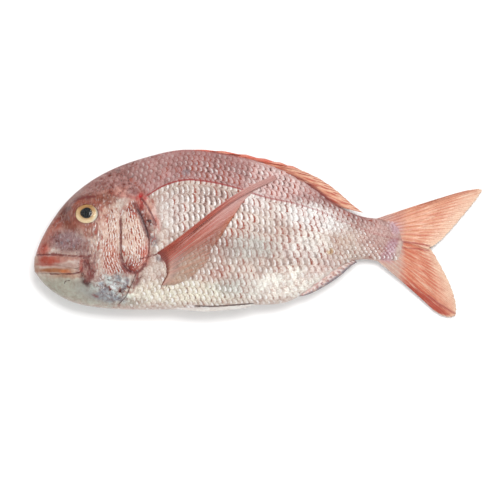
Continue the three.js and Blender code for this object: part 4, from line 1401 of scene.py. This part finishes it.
SCALE_SLANT = 0.08
SCALE_DROOP = 0.05  # how far its upper and lower corners bend to the skin, in mm
SCALE_GRID = (4, 6)
SCALE_COLUMNS = (0, 0.42, 0.66, 0.87, 1)  # where the grid's columns lie along the scale
SCALE_EDGE = np.radians(50)
REAR_ARC = 0.231  # how far the corners of the free edge lie back, as a share of the scale's length
REAR_SQUARENESS = 2.3
SCALE_START = -0.3  # where the front of a scale lies under the skin
SCALE_THICKNESS = 0.07
HIGHEST_SCALE = SKIN_OVER_TABLE + 0.3
TAIL_BASE = 286
TAIL_MARGIN = (1.6, 2.4)  # how far before the tail's base the scales end, and how unevenly
BACK_MARGIN = 1.6
BELLY_MARGIN = 3.0
GIRTH_STATIONS = 420  # places along the body where its girth is measured
GIRTH_STEPS = 260
GIRTH_SHARES = 300


def flank_table():
    """Distance round the flank from the belly, and how deep in the body's outline each such distance lies."""
    stations = np.linspace(2, BODY_LENGTH - 1, GIRTH_STATIONS)
    v = (1 - np.cos(np.linspace(0, np.pi, GIRTH_STEPS))) / 2
    x = np.repeat(stations[:, None], len(v), 1)
    y = lerp(belly(x), back(x), v[None])
    out = stand_out(x, y)
    arc = np.cumsum(np.hypot(np.diff(y, axis=1), np.diff(out, axis=1)), axis=1)
    arc = np.concatenate([np.zeros((len(stations), 1)), arc], 1)
    shares = np.linspace(0, 1, GIRTH_SHARES)
    depth = np.array([np.interp(shares, row / row[-1], v) for row in arc])
    guide = (row_guide(stations) - belly(stations)) / (back(stations) - belly(stations))
    line = np.array([np.interp(share, v, row) for share, row in zip(guide, arc)])
    return stations, arc[:, -1], shares, depth, line


def row_drop(n):
    """Distance round the flank from the guide line to row n, which is negative towards the back."""
    over, under, low = ROW_HEIGHTS
    lower = under * LOW_ROW + low * (n - LOW_ROW)
    return np.where(n < 0, over * n, np.where(n < LOW_ROW, under * n, lower))


def row_arc(table, x, n):
    """Distance round the flank from the belly to row n at x. Low rows run straighter than the line."""
    line = np.interp(x, table[0], table[4])
    sinks = np.maximum(row_guide(np.array(SINK_START)) - row_guide(x), 0) * (x > SINK_START)
    gathered = SINK_LIMIT * (1 - np.exp(-sinks / SINK_LIMIT))
    follows = np.clip(1 - n / STRAIGHT_ROW, -0.1, 1)
    return line - row_drop(n) * np.interp(x, *ROW_CROWDING) + (1 - follows) * gathered


def flank_y(table, x, arc):
    """The y of the place at that distance round the flank from the belly, and the flank's whole girth."""
    stations, total, shares, depth, _ = table
    place = np.clip((x - stations[0]) / (stations[1] - stations[0]), 0, len(stations) - 1.001)
    i = place.astype(int)
    part = place - i
    girth = lerp(total[i], total[i + 1], part)
    where = np.clip(arc / girth, 0, 1) * (len(shares) - 1)
    j = np.clip(where.astype(int), 0, len(shares) - 2)
    along = where - j
    v = lerp(
        lerp(depth[i, j], depth[i, j + 1], along),
        lerp(depth[i + 1, j], depth[i + 1, j + 1], along),
        part,
    )
    return lerp(belly(x), back(x), v), girth


def rear_edge(u, v):
    """How far each point of a scale lies back for its rounded free edge, as a share of the scale's length."""
    rounded = 1 - (1 - np.abs(v) ** REAR_SQUARENESS) ** (1 / REAR_SQUARENESS)
    return REAR_ARC * rounded * (0.25 + 0.75 * u)


def scale_pattern():
    """One scale, modelled flat: a grid whose columns crowd towards the free edge, closed by one face below.
    Returns its vertices' shares along it and places across it, from -1 to 1, which of them are in the upper
    face, and its faces."""
    piece, _, _, upper = slab("scale", *SCALE_GRID)
    bpy.ops.object.mode_set(mode="EDIT")
    bpy.ops.mesh.select_all(action="DESELECT")
    bpy.ops.object.mode_set(mode="OBJECT")
    for face in piece.data.polygons:
        face.select = all(not upper[i] for i in face.vertices)
    bpy.ops.object.mode_set(mode="EDIT")
    bpy.ops.mesh.dissolve_faces(use_verts=False)
    bpy.ops.mesh.select_all(action="SELECT")
    bpy.ops.mesh.normals_make_consistent(inside=False)
    bpy.ops.object.mode_set(mode="OBJECT")
    at = coordinates(piece)
    faces = [tuple(face.vertices) for face in piece.data.polygons]
    columns = np.interp(at[:, 0] + 0.5, np.linspace(0, 1, len(SCALE_COLUMNS)), SCALE_COLUMNS)
    bpy.data.objects.remove(piece)
    return columns, 2 * at[:, 1], at[:, 2] > 0.5, faces


def scattered(name, count, pattern, points, side):
    """One mesh of many scales."""
    u, v, _, faces = pattern
    step = len(u)
    corners = [tuple(corner + step * k for corner in face) for k in range(count) for face in faces]
    if side < 0:
        corners = [corner[::-1] for corner in corners]
    mesh = bpy.data.meshes.new(name)
    mesh.from_pydata(in_frame(points.reshape(-1, 3)).tolist(), [], corners)
    mesh.shade_smooth()
    mesh.set_sharp_from_angle(angle=SCALE_EDGE)
    piece = bpy.data.objects.new(name, mesh)
    bpy.context.scene.collection.objects.link(piece)
    lay_out(piece, "Scale", np.tile(u, count), np.tile((v + 1) / 2, count))
    return piece


def scale_finishing(piece, colours, x, y, side, chance, printed):
    """Colours and lines of the skin on each scale, and its print, with a tone of its own by chance."""
    paint(piece, "tone", skin_tone(colours, x, y, side) * lerp(0.9, 1.08, chance)[:, None])
    paint(piece, "lines", skin_lines(x, y, side))
    paint(piece, "print", np.concatenate([printed, chance[:, None]], 1))
    finished(piece, material("silver_scales"))


def make_flank_scales(side_name, sizes, colours):
    side = SIDES[side_name]
    rng = np.random.default_rng(SCALE_SEEDS[side_name])
    table = flank_table()
    pitch = sizes.scale_pitch / MM
    edges = [FIRST_COLUMN]
    while edges[-1] < TAIL_BASE:
        edges.append(edges[-1] + pitch * np.interp(edges[-1], *COLUMN_CROWDING))
    edges = np.array(edges)
    row_numbers = np.arange(-ROWS_OVER_LINE, ROWS_UNDER_LINE)
    rows, columns = np.meshgrid(row_numbers, np.arange(len(edges) - 1), indexing="ij")
    rows, columns = rows.ravel().astype(float), columns.ravel().astype(float)
    # In front, the first rows under the line start level. Further back and further down, each row is shifted
    # by about half a scale against the one over it.
    drift = ROW_SHIFT_REAR * smooth(edges[columns.astype(int)], 180, 235)
    level = np.minimum(rows, LEVEL_ROWS) * drift
    phase = np.where(rows < 0, ROW_SHIFT_ABOVE * rows, level + 0.5 * np.maximum(rows - LEVEL_ROWS, 0)) % 1
    rear = np.interp(columns + phase, np.arange(len(edges)), edges)
    middle = rear - 0.3 * sizes.scale_length / MM
    arc = row_arc(table, middle, rows)
    y, girth = flank_y(table, middle, arc)
    margin, unevenness = TAIL_MARGIN
    rear_end = TAIL_BASE - margin + unevenness * ripple(rear, y, 3, 5)
    kept = (arc > BELLY_MARGIN) & (arc < girth - BACK_MARGIN)
    kept &= (middle > scaled_start(y) + 1) & (rear < rear_end)
    rear, rows = rear[kept], rows[kept]
    count = len(rear)

    u, v, upper, _ = pattern = scale_pattern()
    chance = rng.random(count)
    size = np.interp(rear, *LENGTH_CHANGE)[:, None] * (sizes.scale_length / MM)
    rear = rear + rng.normal(0, PLACE_SCATTER, count)
    rows = rows + rng.normal(0, ROW_SCATTER, count)
    along = u - rear_edge(u, v)
    x = np.clip(rear[:, None] - (1 - along + SCALE_SLANT * v) * size, 3, TAIL_BASE + 1)
    around = row_arc(table, x, rows[:, None] - SCALE_OVERLAP * v)
    y, _ = flank_y(table, x, np.clip(around, 0.3, None))
    shrink = np.interp(rear, *LIFT_CHANGE)[:, None]
    tip = (sizes.scale_lift / MM) * (1 + LIFT_SCATTER * rng.normal(0, 1, count)[:, None]) * shrink
    lift = lerp(SCALE_START, tip, along) - SCALE_DROOP * v**4
    lift = np.where(upper, lift, lift - SCALE_THICKNESS)
    points = over_skin(x, y, side, np.minimum(lift, HIGHEST_SCALE))
    piece = scattered(f"scales_{side_name}", count, pattern, points, side)
    x, y = x.ravel(), y.ravel()
    scale_finishing(piece, colours, x, y, side, np.repeat(chance, len(u)), scale_print(x, y))


# Plate, from and to in share of its height, from and to in share of its width, for the scaled part of each.
CHEEK_ZONES = (("cheek", (0.06, 0.66), (0.12, 0.9)), ("gill_cover", (0.08, 0.9), (0.12, 0.94)))
CHEEK_SEEDS = {"upper": 41, "lower": 42}
CHEEK_ROW = 3.6  # mm from row to row
CHEEK_OVERLAP = 0.62  # half the height of a scale, in rows
CHEEK_LENGTH = 1.75  # in pitches
CHEEK_SCATTER = (0.22, 0.1)  # in rows and in pitches
CHEEK_LIFTS = (-0.15, 0.25)  # at the front of a scale and at its free edge
CHEEK_DROOP = 0.04
CHEEK_THICKNESS = 0.08
CHEEK_PRINT = (1.0, 1.3, 1.0)


def make_cheek_scales(side_name, sizes, colours):
    side = SIDES[side_name]
    rng = np.random.default_rng(CHEEK_SEEDS[side_name])
    pitch = sizes.cheek_pitch / MM
    u, v, upper, _ = pattern = scale_pattern()
    places, strength = [], []
    for form, (top, foot), (front, rear) in CHEEK_ZONES:
        front_line, rear_line = (curve(edge) for edge in PLATES[form][:2])
        s_line = np.linspace(top, foot, 200)
        line = rear_line(s_line)
        height = np.concatenate([[0], np.cumsum(np.linalg.norm(np.diff(line, axis=0), axis=1))])
        ds = CHEEK_ROW / height[-1] * (foot - top)
        for k, level in enumerate(np.arange(0, height[-1], CHEEK_ROW)):
            s = np.interp(level, height, s_line)
            dt = pitch / np.linalg.norm(rear_line(np.array(s)) - front_line(np.array(s)))
            for t in np.arange(front + (k % 2) * 0.5 * dt, rear, dt):
                places.append((form, s, t, dt, ds))
                inside = min(t - front, rear - t) / (rear - front)
                strength.append(smooth(inside, -0.02, 0.25) * 0.8 + 0.2)
    along = u - rear_edge(u, v)
    row_scatter, pitch_scatter = CHEEK_SCATTER
    at = []
    for form, s, t, dt, ds in places:
        s_at = np.clip(s + rng.normal(0, row_scatter) * ds - CHEEK_OVERLAP * ds * v, 0, 1)
        t_middle = t + rng.normal(0, pitch_scatter) * dt + 0.5 * dt
        t_at = np.clip(t_middle - CHEEK_LENGTH * dt * (1 - along), 0, 1)
        at.append(plate_place(form, s_at, t_at))
    x, y, plate_lift = np.array(at).transpose(1, 0, 2)
    thick = np.where(upper, 0, CHEEK_THICKNESS)
    lift = plate_lift + lerp(*CHEEK_LIFTS, along) - CHEEK_DROOP * v * v - thick
    piece = scattered(f"cheek_scales_{side_name}", len(places), pattern, over_skin(x, y, side, lift), side)
    x, y = x.ravel(), y.ravel()
    chance = np.repeat(rng.uniform(0.5, 1, len(places)), len(u))
    printed = np.array(CHEEK_PRINT) * np.repeat(strength, len(u))[:, None] ** (1, 1, 0)
    scale_finishing(piece, colours, x, y, side, chance, printed)


# ---------------------------------------------------------------- fins

# Painted shadow lines where the upper lobe overlaps the lower one and where the lower lobe folds: half width in
# mm and run of each.
TAIL_FOLD_SHADOWS = (
    (0.8, [(284, 18.8), (298, 17.0), (309, 14.8)]),
    (0.5, [(288, 13.5), (300, 12.6), (309, 11.2)]),
    (0.8, [(308, -24), (318, -31.5), (329, -38)]),
)
TAIL_GRID = (120, 44)
TAIL_LOBES = {  # root, rim, bow of the rays
    "tail_upper_lobe": (
        [(268, 36.4), (276, 33), (281, 27), (283, 19.5)],
        [
            (331, 56.6), (341.5, 59), (350.6, 59.2), (347, 52.5), (340, 43.7), (332, 34.3),
            (324.5, 25.7), (316.7, 18), (308, 12.4),
        ],
        0.005,
    ),
    "tail_lower_lobe": (
        [(283, 22), (281, 13), (276, 7), (268, 3.4)],
        [
            (308, 16), (315, 4.7), (320.6, -5.5), (325, -14.5), (328.5, -24), (330.4, -34),
            (329.4, -40.4), (322, -40.9), (313.6, -36.6),
        ],
        0.008,
    ),
}
TAIL_FOLD = 0.9  # how far the lobes are folded out of their plane
TAIL_ROOT = 1.4  # half thickness of the tail where it grows out of the body
MEMBRANE = 0.35  # half thickness of the tail and the pelvic fins between the rays
EDGE_FIN_ROWS = 16
EDGE_FIN_COLUMNS = 20  # for each ray
DORSAL_SPINES = 7
DORSAL_RAYS = 13
EDGE_FINS = {  # from and to along the body, depth of the root in it, its edge, rim, rays and wave
    "dorsal_fin": (
        (104, 234.5), -1.6, back,
        [
            (109, 88.4), (129.5, 89.6), (152.9, 87), (174, 82.8), (190.3, 79), (201.2, 75.8),
            (211.4, 72.4), (223.1, 66.8), (233.2, 60), (241, 53.6), (248, 47.4), (257, 40.8),
        ],
        DORSAL_RAYS, 0.5,
    ),
    "anal_fin": (
        (203, 246.5), 2.5, belly,
        [(203, -25), (212, -23.6), (219, -20.8), (231, -14), (240, -7.6), (247.5, -0.8), (252.5, 2.4)],
        8, 1.2,
    ),
}
PECTORAL_GRID = (130, 60)
PECTORAL_ROOT = [(95, 8.6), (101, 3), (103.5, -6), (99.5, -15.8)]
PECTORAL_RIM = [
    (187.4, 70.0), (189.6, 67.4), (181, 62.6), (171.5, 57.4), (163.5, 49.6), (157.3, 40), (151, 30.5),
    (145.5, 21.4), (138.5, 12.5), (136, 3.5), (129, -3.7), (119.5, -11.5), (110, -15.4),
]
PECTORAL_BOW = 4.2  # how far the leading edge bows towards the back, in mm
PECTORAL_RAYS = 13
PECTORAL_CROWDING = 2.0  # how the rays crowd towards the leading edge
PECTORAL_SINK = 0.8  # how deep its lower face lies under the skin
PELVIC_GRID = (60, 30)
PELVIC_RAYS = 5
PELVIC_ROOT = (107, 112)  # from and to along the belly
PELVIC_RIM = [(173, -30.2), (168, -32.6), (150, -35), (132, -36.2), (116, -35)]
RAY_SHARPNESS = 1.5


def ray_height(phase):
    """1 along the middle of each ray and 0 between them. The phase grows by 1 from ray to ray."""
    return np.abs(np.cos(np.pi * phase)) ** RAY_SHARPNESS


def ridge(phase, t):
    """Height of the rays, which split in two on their way to the rim."""
    return lerp(ray_height(phase), ray_height(2 * phase), smooth(t, 0.35, 0.6))


def fin_finishing(piece, tone, rays, phase, t, solid=1.0, *, streaked):
    """Colours of membrane and rays, how solid and how streaked the membrane is, and at each place the ray and
    the share along it."""
    paint(piece, "tone", np.concatenate([tone, np.full((len(t), 1), streaked)], 1))
    paint(piece, "rays", np.concatenate([rays, np.broadcast_to(solid, len(t))[:, None]], 1))
    lay_out(piece, "Fin", phase, t)
    finished(piece, material("fin_membrane"))


def mixed(first, second, share):
    """Colours with a share of the second in them, which may differ from place to place."""
    return lerp(first, second, np.atleast_1d(share)[:, None])


def square_to(start, end):
    """Vectors as long as those from start to end, turned a quarter towards the back."""
    return np.stack([start[:, 1] - end[:, 1], end[:, 0] - start[:, 0]], -1)


def make_tail(sizes, colours):
    membrane, ray, pale, coral, red = shades(colours, "fin", "fin_ray", "fin_tip", "coral", "lateral")
    for name, (root, rim, bow) in TAIL_LOBES.items():
        upper_lobe = name == "tail_upper_lobe"
        piece, s, t, upper = slab(name, *TAIL_GRID)
        phase = s * sizes.tail_rays
        between_rays = 1 - np.abs(np.cos(2 * np.pi * phase))
        ragged = 0.012 * between_rays + 0.006 * (1 + ripple(s * 60, t * 0, 5, 51))
        reach = t * (1 - ragged)
        start, end = curve(root)(s), curve(rim)(s)
        bowed = square_to(start, end) * (bow * 4 * reach * (1 - reach))[:, None]
        x, y = (lerp(start, end, reach[:, None]) + bowed).T
        fold = s * t if upper_lobe else t * (s - 1 + 0.8 * np.sin(5.5 * s))
        middle = axis_height(x) + TAIL_FOLD * fold
        height = MEMBRANE + sizes.fin_ray / MM * ridge(phase, t) * (1 - 0.6 * t)
        half = lerp(TAIL_ROOT, height, smooth(t, 0, 0.45)) * lerp(1, 0.45, smooth(t, 0.75, 1))
        z = np.maximum(middle + np.where(upper, half, -half), np.where(upper, 2 * MEMBRANE, 0))
        shaped(piece, np.stack([x, y, z], -1))
        # The lower lobe is redder, and most so in a band along its leading edge.
        leading, banded, deeper = (s, 0.3, 0.0) if upper_lobe else (1 - s, 0.95, 0.35)
        band = (1 - smooth(leading, 0.16, 0.24)) * smooth(t, 0.25, 0.55) * banded
        inside = smooth(leading, 0.1, 0.5)
        tone = mixed(mixed(membrane, ray, deeper), pale, smooth(t, 0.55, 0.98) * inside * 0.8)
        rays = mixed(mixed(ray, membrane, 0.4 - deeper), pale, 0.6 * smooth(t, 0.6, 1.0) * inside)
        rim_band = smooth(t, 0.955, 1) * 0.8
        # Painted shadow along the lobes' overlap and folds.
        fold_shadow = 0.8 * np.exp(-(distance_to(TAIL_FOLD_SHADOWS, x, y) ** 2)) * smooth(t, 0.02, 0.1)
        stalk = skin_tone(colours, x, y, 1)
        near = 0.85 * (1 - smooth(x + 1.5 * ripple(x, y, 9, 52), 283, 292))
        for other, share, on_rays in (
            (coral, band, 0.8), (pale, rim_band, 1), (red, fold_shadow, 1), (stalk, near, 0.75)
        ):
            tone, rays = mixed(tone, other, share), mixed(rays, other, on_rays * share)
        fin_finishing(piece, tone, rays, phase, t, streaked=0.75)


def make_edge_fins(sizes, colours):
    membrane, ray, pale, wine, slate = shades(colours, "fin", "fin_ray", "fin_tip", "wine", "slate")
    pink, bright, white, coral = shades(colours, "pink", "spine", "fin_white", "coral")
    for name, ((start, end), depth, edge, rim, count, wave) in EDGE_FINS.items():
        piece, s, t, upper = slab(name, EDGE_FIN_COLUMNS * count, EDGE_FIN_ROWS)
        tip = curve(rim)(s)
        phase = s * count
        if name == "dorsal_fin":
            tooth = np.where(s < DORSAL_SPINES / DORSAL_RAYS, 1.6, 0.5) * (1 - phase % 1)
            tip[:, 1] += tooth * smooth(s, 0, 0.25) * smooth(1 - s, 0, 0.2)
            sway = wave * np.sin(5 * np.pi * s)
        else:
            sway = wave
        x_root = lerp(start, end, s)
        root = np.stack([x_root, edge(x_root) + depth], -1)
        x, y = lerp(root, tip, t[:, None]).T
        ribbed = 0.75 + sizes.fin_ray / MM * ray_height(phase)
        height = lerp(1.5, 0.4, t) * ribbed * lerp(1, 0.55, smooth(t, 0.85, 1))
        middle = axis_height(x) + sway * t
        z = np.maximum(middle + np.where(upper, height, -height), 0)
        shaped(piece, np.stack([x, y, z], -1))
        if name == "dorsal_fin":
            folded = 0.75 * (1 - smooth(s, 0.42, 0.58))
            tone = mixed(ray, membrane, 0.3 + 0.7 * smooth(t, 0.1, 0.5))
            tone = mixed(tone, pale, 0.45 * smooth(t, 0.4, 0.8))
            tone = mixed(tone, bright, folded)
            rays = mixed(bright, coral, 0.75 * smooth(s, 0.4, 0.55))
            shaded = 0.85 * (1 - smooth(y - back(x), 0.2, 3.0)) * smooth(s, 0.55, 0.8)
            tone, rays = mixed(tone, wine, shaded), mixed(rays, wine, shaded)
            phase = phase / 2  # a coloured ray for every second ridge
        else:
            outer = smooth(t, 0.6, 0.92)
            tone = mixed(mixed(pink, white, 0.6), slate, 0.95 * outer)
            rays = mixed(mixed(pink, ray, 0.35), slate, 0.8 * outer)
            rays = mixed(rays, wine, 0.8 * smooth(t, 0.2, 0.5) * (1 - outer) * smooth(s, 0.2, 0.45))
        fin_finishing(piece, tone, rays, phase, t, streaked=0.5)


def make_pectorals(sizes, colours):
    web, ray, pale, amber = shades(colours, "fin_web", "fin_root", "pink", "amber")
    coral, wine, tan, stalk = shades(colours, "coral", "wine", "tan", "stalk")
    for side_name, side in SIDES.items():
        piece, column, t, upper = slab(f"pectoral_fin_{side_name}", *PECTORAL_GRID)
        s = 1 - (1 - column) ** (1 / PECTORAL_CROWDING)
        phase = column * PECTORAL_RAYS
        start, end = curve(PECTORAL_ROOT)(s), curve(PECTORAL_RIM)(s)
        across = square_to(start, end)
        across /= np.linalg.norm(across, axis=1, keepdims=True)
        bow = PECTORAL_BOW * (1 - smooth(s, 0, 0.6)) * np.sin(np.pi * t**1.8)
        x, y = (lerp(start, end, t[:, None]) + across * bow[:, None]).T
        arch = 1.1 + 1.1 * np.sin(np.pi * np.minimum(1, 0.2 + t))
        comb = 1.4 * sizes.fin_ray / MM * ray_height(phase)
        edge = smooth(s, -0.05, 0.06) * lerp(0.6, 1, smooth(1 - s, 0, 0.3))
        edge = edge * lerp(0.85, 1, smooth(1 - t, 0, 0.2))
        lift = lerp(-0.2, (arch + comb) * edge, smooth(t, 0, 0.08))
        points = skin(x, y, side)
        points[:, 2] += side * np.where(upper, lift, -PECTORAL_SINK)
        shaped(piece, over_table(points))
        bundle = 1 - smooth(s, 0.3, 0.46)
        gaps = np.clip(np.sin(np.pi * phase), 0, 1) ** 4
        lines = bundle * gaps * smooth(t, 0.1, 0.3) * smooth(s, 0.06, 0.14)
        tone = mixed(web, coral, 0.6 * (1 - smooth(s, 0.03, 0.25)))
        tone = mixed(tone, amber, 0.75 * smooth(t, 0.82, 0.98) * between(s, 0.25, 0.4, 0.55, 0.7))
        tone = mixed(tone, tan, 0.9 * smooth(s + 0.25 * (1 - t), 0.55, 0.9))
        # Pale lines along the bundle of rays at the leading edge: painted highlights.
        tone = mixed(tone, pale, 0.85 * lines)
        thinning = 0.7 * smooth(t, 0.45, 0.9) * bundle
        tone = mixed(tone, pale, thinning)
        tone = mixed(tone, stalk, 0.7 * between(t, 0.03, 0.1, 0.2, 0.4) * smooth(s, 0.25, 0.5))
        tone = mixed(tone, wine, 0.85 * (1 - smooth(t, 0.02, 0.09)))
        rays = mixed(mixed(coral, ray, smooth(s, 0.02, 0.16)), pale, 0.7 * thinning)
        rays = mixed(rays, tone, smooth(s, 0.35, 0.55) * 0.75)
        rays = mixed(rays, wine, 0.7 * (1 - smooth(t, 0.02, 0.1)))
        solid = 1 - smooth(s, 0.38, 0.6) * smooth(t, 0.05, 0.3)
        fin_finishing(piece, tone, rays, phase, t, solid, streaked=0.25)


def make_pelvics(colours):
    white, pink = shades(colours, "fin_white", "pink")
    first, last = PELVIC_ROOT
    for side_name, side in SIDES.items():
        piece, s, t, upper = slab(f"pelvic_fin_{side_name}", *PELVIC_GRID)
        phase = PELVIC_RAYS * s
        tip = curve(PELVIC_RIM)(s)
        root = np.stack([first + (last - first) * s, np.full_like(s, belly(np.array(109.0)) + 3)], -1)
        x, y = lerp(root, tip, t[:, None]).T
        middle = axis_height(x) + side * lerp(5, 3.5, t)
        half = lerp(1.5, MEMBRANE + 0.3 * ridge(phase, t), smooth(t, 0, 0.45))
        half = half * lerp(1, 0.5, smooth(t, 0.8, 1))
        z = np.maximum(middle + np.where(upper, half, -half), 0)
        shaped(piece, np.stack([x, y, z], -1))
        tone = mixed(white, pink, 0.2 * (1 - t))
        fin_finishing(piece, tone, np.tile(white, (len(x), 1)), phase, t, streaked=0.1)


# ---------------------------------------------------------------- stage

VIEW_CENTRE = (-0.00682, -0.01262)
VIEW_WIDTH = 0.39
VIEW_LEVEL = 0.02  # the height at which the view is as wide as that
CAMERA_HEIGHT = 4.0
SENSOR = 36
TABLE_SIZE = 8
TABLE_GAP = 0.0001  # between the table and the fish
ROOM_LIGHT = 0.55


def area_light(name, place, size, power, aim=(0, 0, VIEW_LEVEL)):
    light = bpy.data.lights.new(name, "AREA")
    light.shape = "RECTANGLE"
    light.size, light.size_y = size
    light.energy = power
    lamp = bpy.data.objects.new(name, light)
    lamp.location = place
    lamp.rotation_euler = (Vector(aim) - Vector(place)).to_track_quat("-Z", "Y").to_euler()
    bpy.context.scene.collection.objects.link(lamp)


def make_stage(colours):
    scene = bpy.context.scene
    deselect()
    bpy.ops.mesh.primitive_plane_add(size=TABLE_SIZE)
    floor = named("table_top")
    floor.data.vertices.foreach_set("co", (coordinates(floor) - (0, 0, TABLE_GAP)).ravel())
    floor.data.materials.append(table_finish(colours))

    camera = bpy.data.objects.new("camera", bpy.data.cameras.new("camera"))
    camera.location = (*VIEW_CENTRE, CAMERA_HEIGHT)
    camera.data.sensor_width = SENSOR
    camera.data.lens = SENSOR * (CAMERA_HEIGHT - VIEW_LEVEL) / VIEW_WIDTH
    camera.data.clip_end = 20
    scene.collection.objects.link(camera)
    scene.camera = camera

    area_light("window", (0.22, 0.62, 1.7), (0.9, 0.7), 26)
    area_light("overhead", (0, 0, 2.2), (2.4, 2.4), 12)
    area_light("fill", (-0.2, -1.3, 0.7), (1.6, 0.8), 7)
    scene.world = bpy.data.worlds.new("studio")
    scene.world.use_nodes = True
    background = scene.world.node_tree.nodes["Background"].inputs
    background["Color"].default_value = (1, 1, 1, 1)
    background["Strength"].default_value = ROOM_LIGHT
    scene.view_settings.view_transform = "Standard"
    scene.view_settings.look = "None"


# ---------------------------------------------------------------- add-on


class MakesPart:
    """What the operators of the panel have in common."""

    bl_options = {"REGISTER", "UNDO"}

    def execute(self, context):
        self.make(context.scene.bream_sizes, context.scene.bream_colours)
        return {"FINISHED"}


class BREAM_OT_finishes(MakesPart, bpy.types.Operator):
    """Mix the finishes of skin, scales, fins and eyes"""

    bl_idname = "bream.finishes"
    bl_label = "Finishes"

    def make(self, sizes, colours):
        build_groups(colours)
        skin_finish(colours)
        scale_finish(colours)
        fin_finish(colours)
        eye_finish(colours)
        cornea_finish()


class BREAM_OT_body(MakesPart, bpy.types.Operator):
    """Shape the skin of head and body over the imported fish"""

    bl_idname = "bream.body"
    bl_label = "Body skin"

    def make(self, sizes, colours):
        make_skin(sizes, colours)


class BREAM_OT_plates(MakesPart, bpy.types.Operator):
    """Lay the cheek, gill cover and shoulder plates over each side of the head"""

    bl_idname = "bream.plates"
    bl_label = "Head plates"

    def make(self, sizes, colours):
        for form in PLATES:
            for side_name in SIDES:
                make_plate(form, side_name, colours)


class BREAM_OT_lips(MakesPart, bpy.types.Operator):
    """Roll the lips round the snout"""

    bl_idname = "bream.lips"
    bl_label = "Lips"

    def make(self, sizes, colours):
        for name in LIPS:
            make_lip(name, sizes, colours)


class BREAM_OT_eyes(MakesPart, bpy.types.Operator):
    """Set the eyeballs, corneas and eyelids"""

    bl_idname = "bream.eyes"
    bl_label = "Eyes"

    def make(self, sizes, colours):
        for side_name in SIDES:
            make_eye(side_name, sizes, colours)


class BREAM_OT_scales(MakesPart, bpy.types.Operator):
    """Lay the rows of scales on the flanks, cheeks and gill covers"""

    bl_idname = "bream.scales"
    bl_label = "Scales"

    def make(self, sizes, colours):
        for side_name in SIDES:
            make_flank_scales(side_name, sizes, colours)
            make_cheek_scales(side_name, sizes, colours)


class BREAM_OT_fins(MakesPart, bpy.types.Operator):
    """Spread the tail, dorsal, anal, pectoral and pelvic fins"""

    bl_idname = "bream.fins"
    bl_label = "Fins"

    def make(self, sizes, colours):
        make_tail(sizes, colours)
        make_edge_fins(sizes, colours)
        make_pectorals(sizes, colours)
        make_pelvics(colours)


class BREAM_OT_stage(MakesPart, bpy.types.Operator):
    """Set up the table, the camera and the lights"""

    bl_idname = "bream.stage"
    bl_label = "Stage"

    def make(self, sizes, colours):
        make_stage(colours)


OPERATORS = (
    BREAM_OT_finishes, BREAM_OT_body, BREAM_OT_plates, BREAM_OT_lips, BREAM_OT_eyes, BREAM_OT_scales,
    BREAM_OT_fins, BREAM_OT_stage,
)


class BREAM_PT_panel(bpy.types.Panel):
    """Sizes, colours and steps of the sea bream"""

    bl_idname = "BREAM_PT_panel"
    bl_label = "Sea Bream"
    bl_space_type = "VIEW_3D"
    bl_region_type = "UI"
    bl_category = "Sea Bream"

    def draw(self, context):
        for group in (context.scene.bream_sizes, context.scene.bream_colours):
            box = self.layout.box()
            for key in group.__annotations__:
                box.prop(group, key)
        for operator in OPERATORS:
            self.layout.operator(operator.bl_idname)


CLASSES = (BreamSizes, BreamColours, *OPERATORS, BREAM_PT_panel)


def register():
    for cls in CLASSES:
        bpy.utils.register_class(cls)
    bpy.types.Scene.bream_sizes = PointerProperty(type=BreamSizes)
    bpy.types.Scene.bream_colours = PointerProperty(type=BreamColours)


def unregister():
    del bpy.types.Scene.bream_colours
    del bpy.types.Scene.bream_sizes
    for cls in reversed(CLASSES):
        bpy.utils.unregister_class(cls)


def main():
    register()
    for operator in OPERATORS:
        group, name = operator.bl_idname.split(".")
        getattr(getattr(bpy.ops, group), name)()


if __name__ == "__main__":
    main()
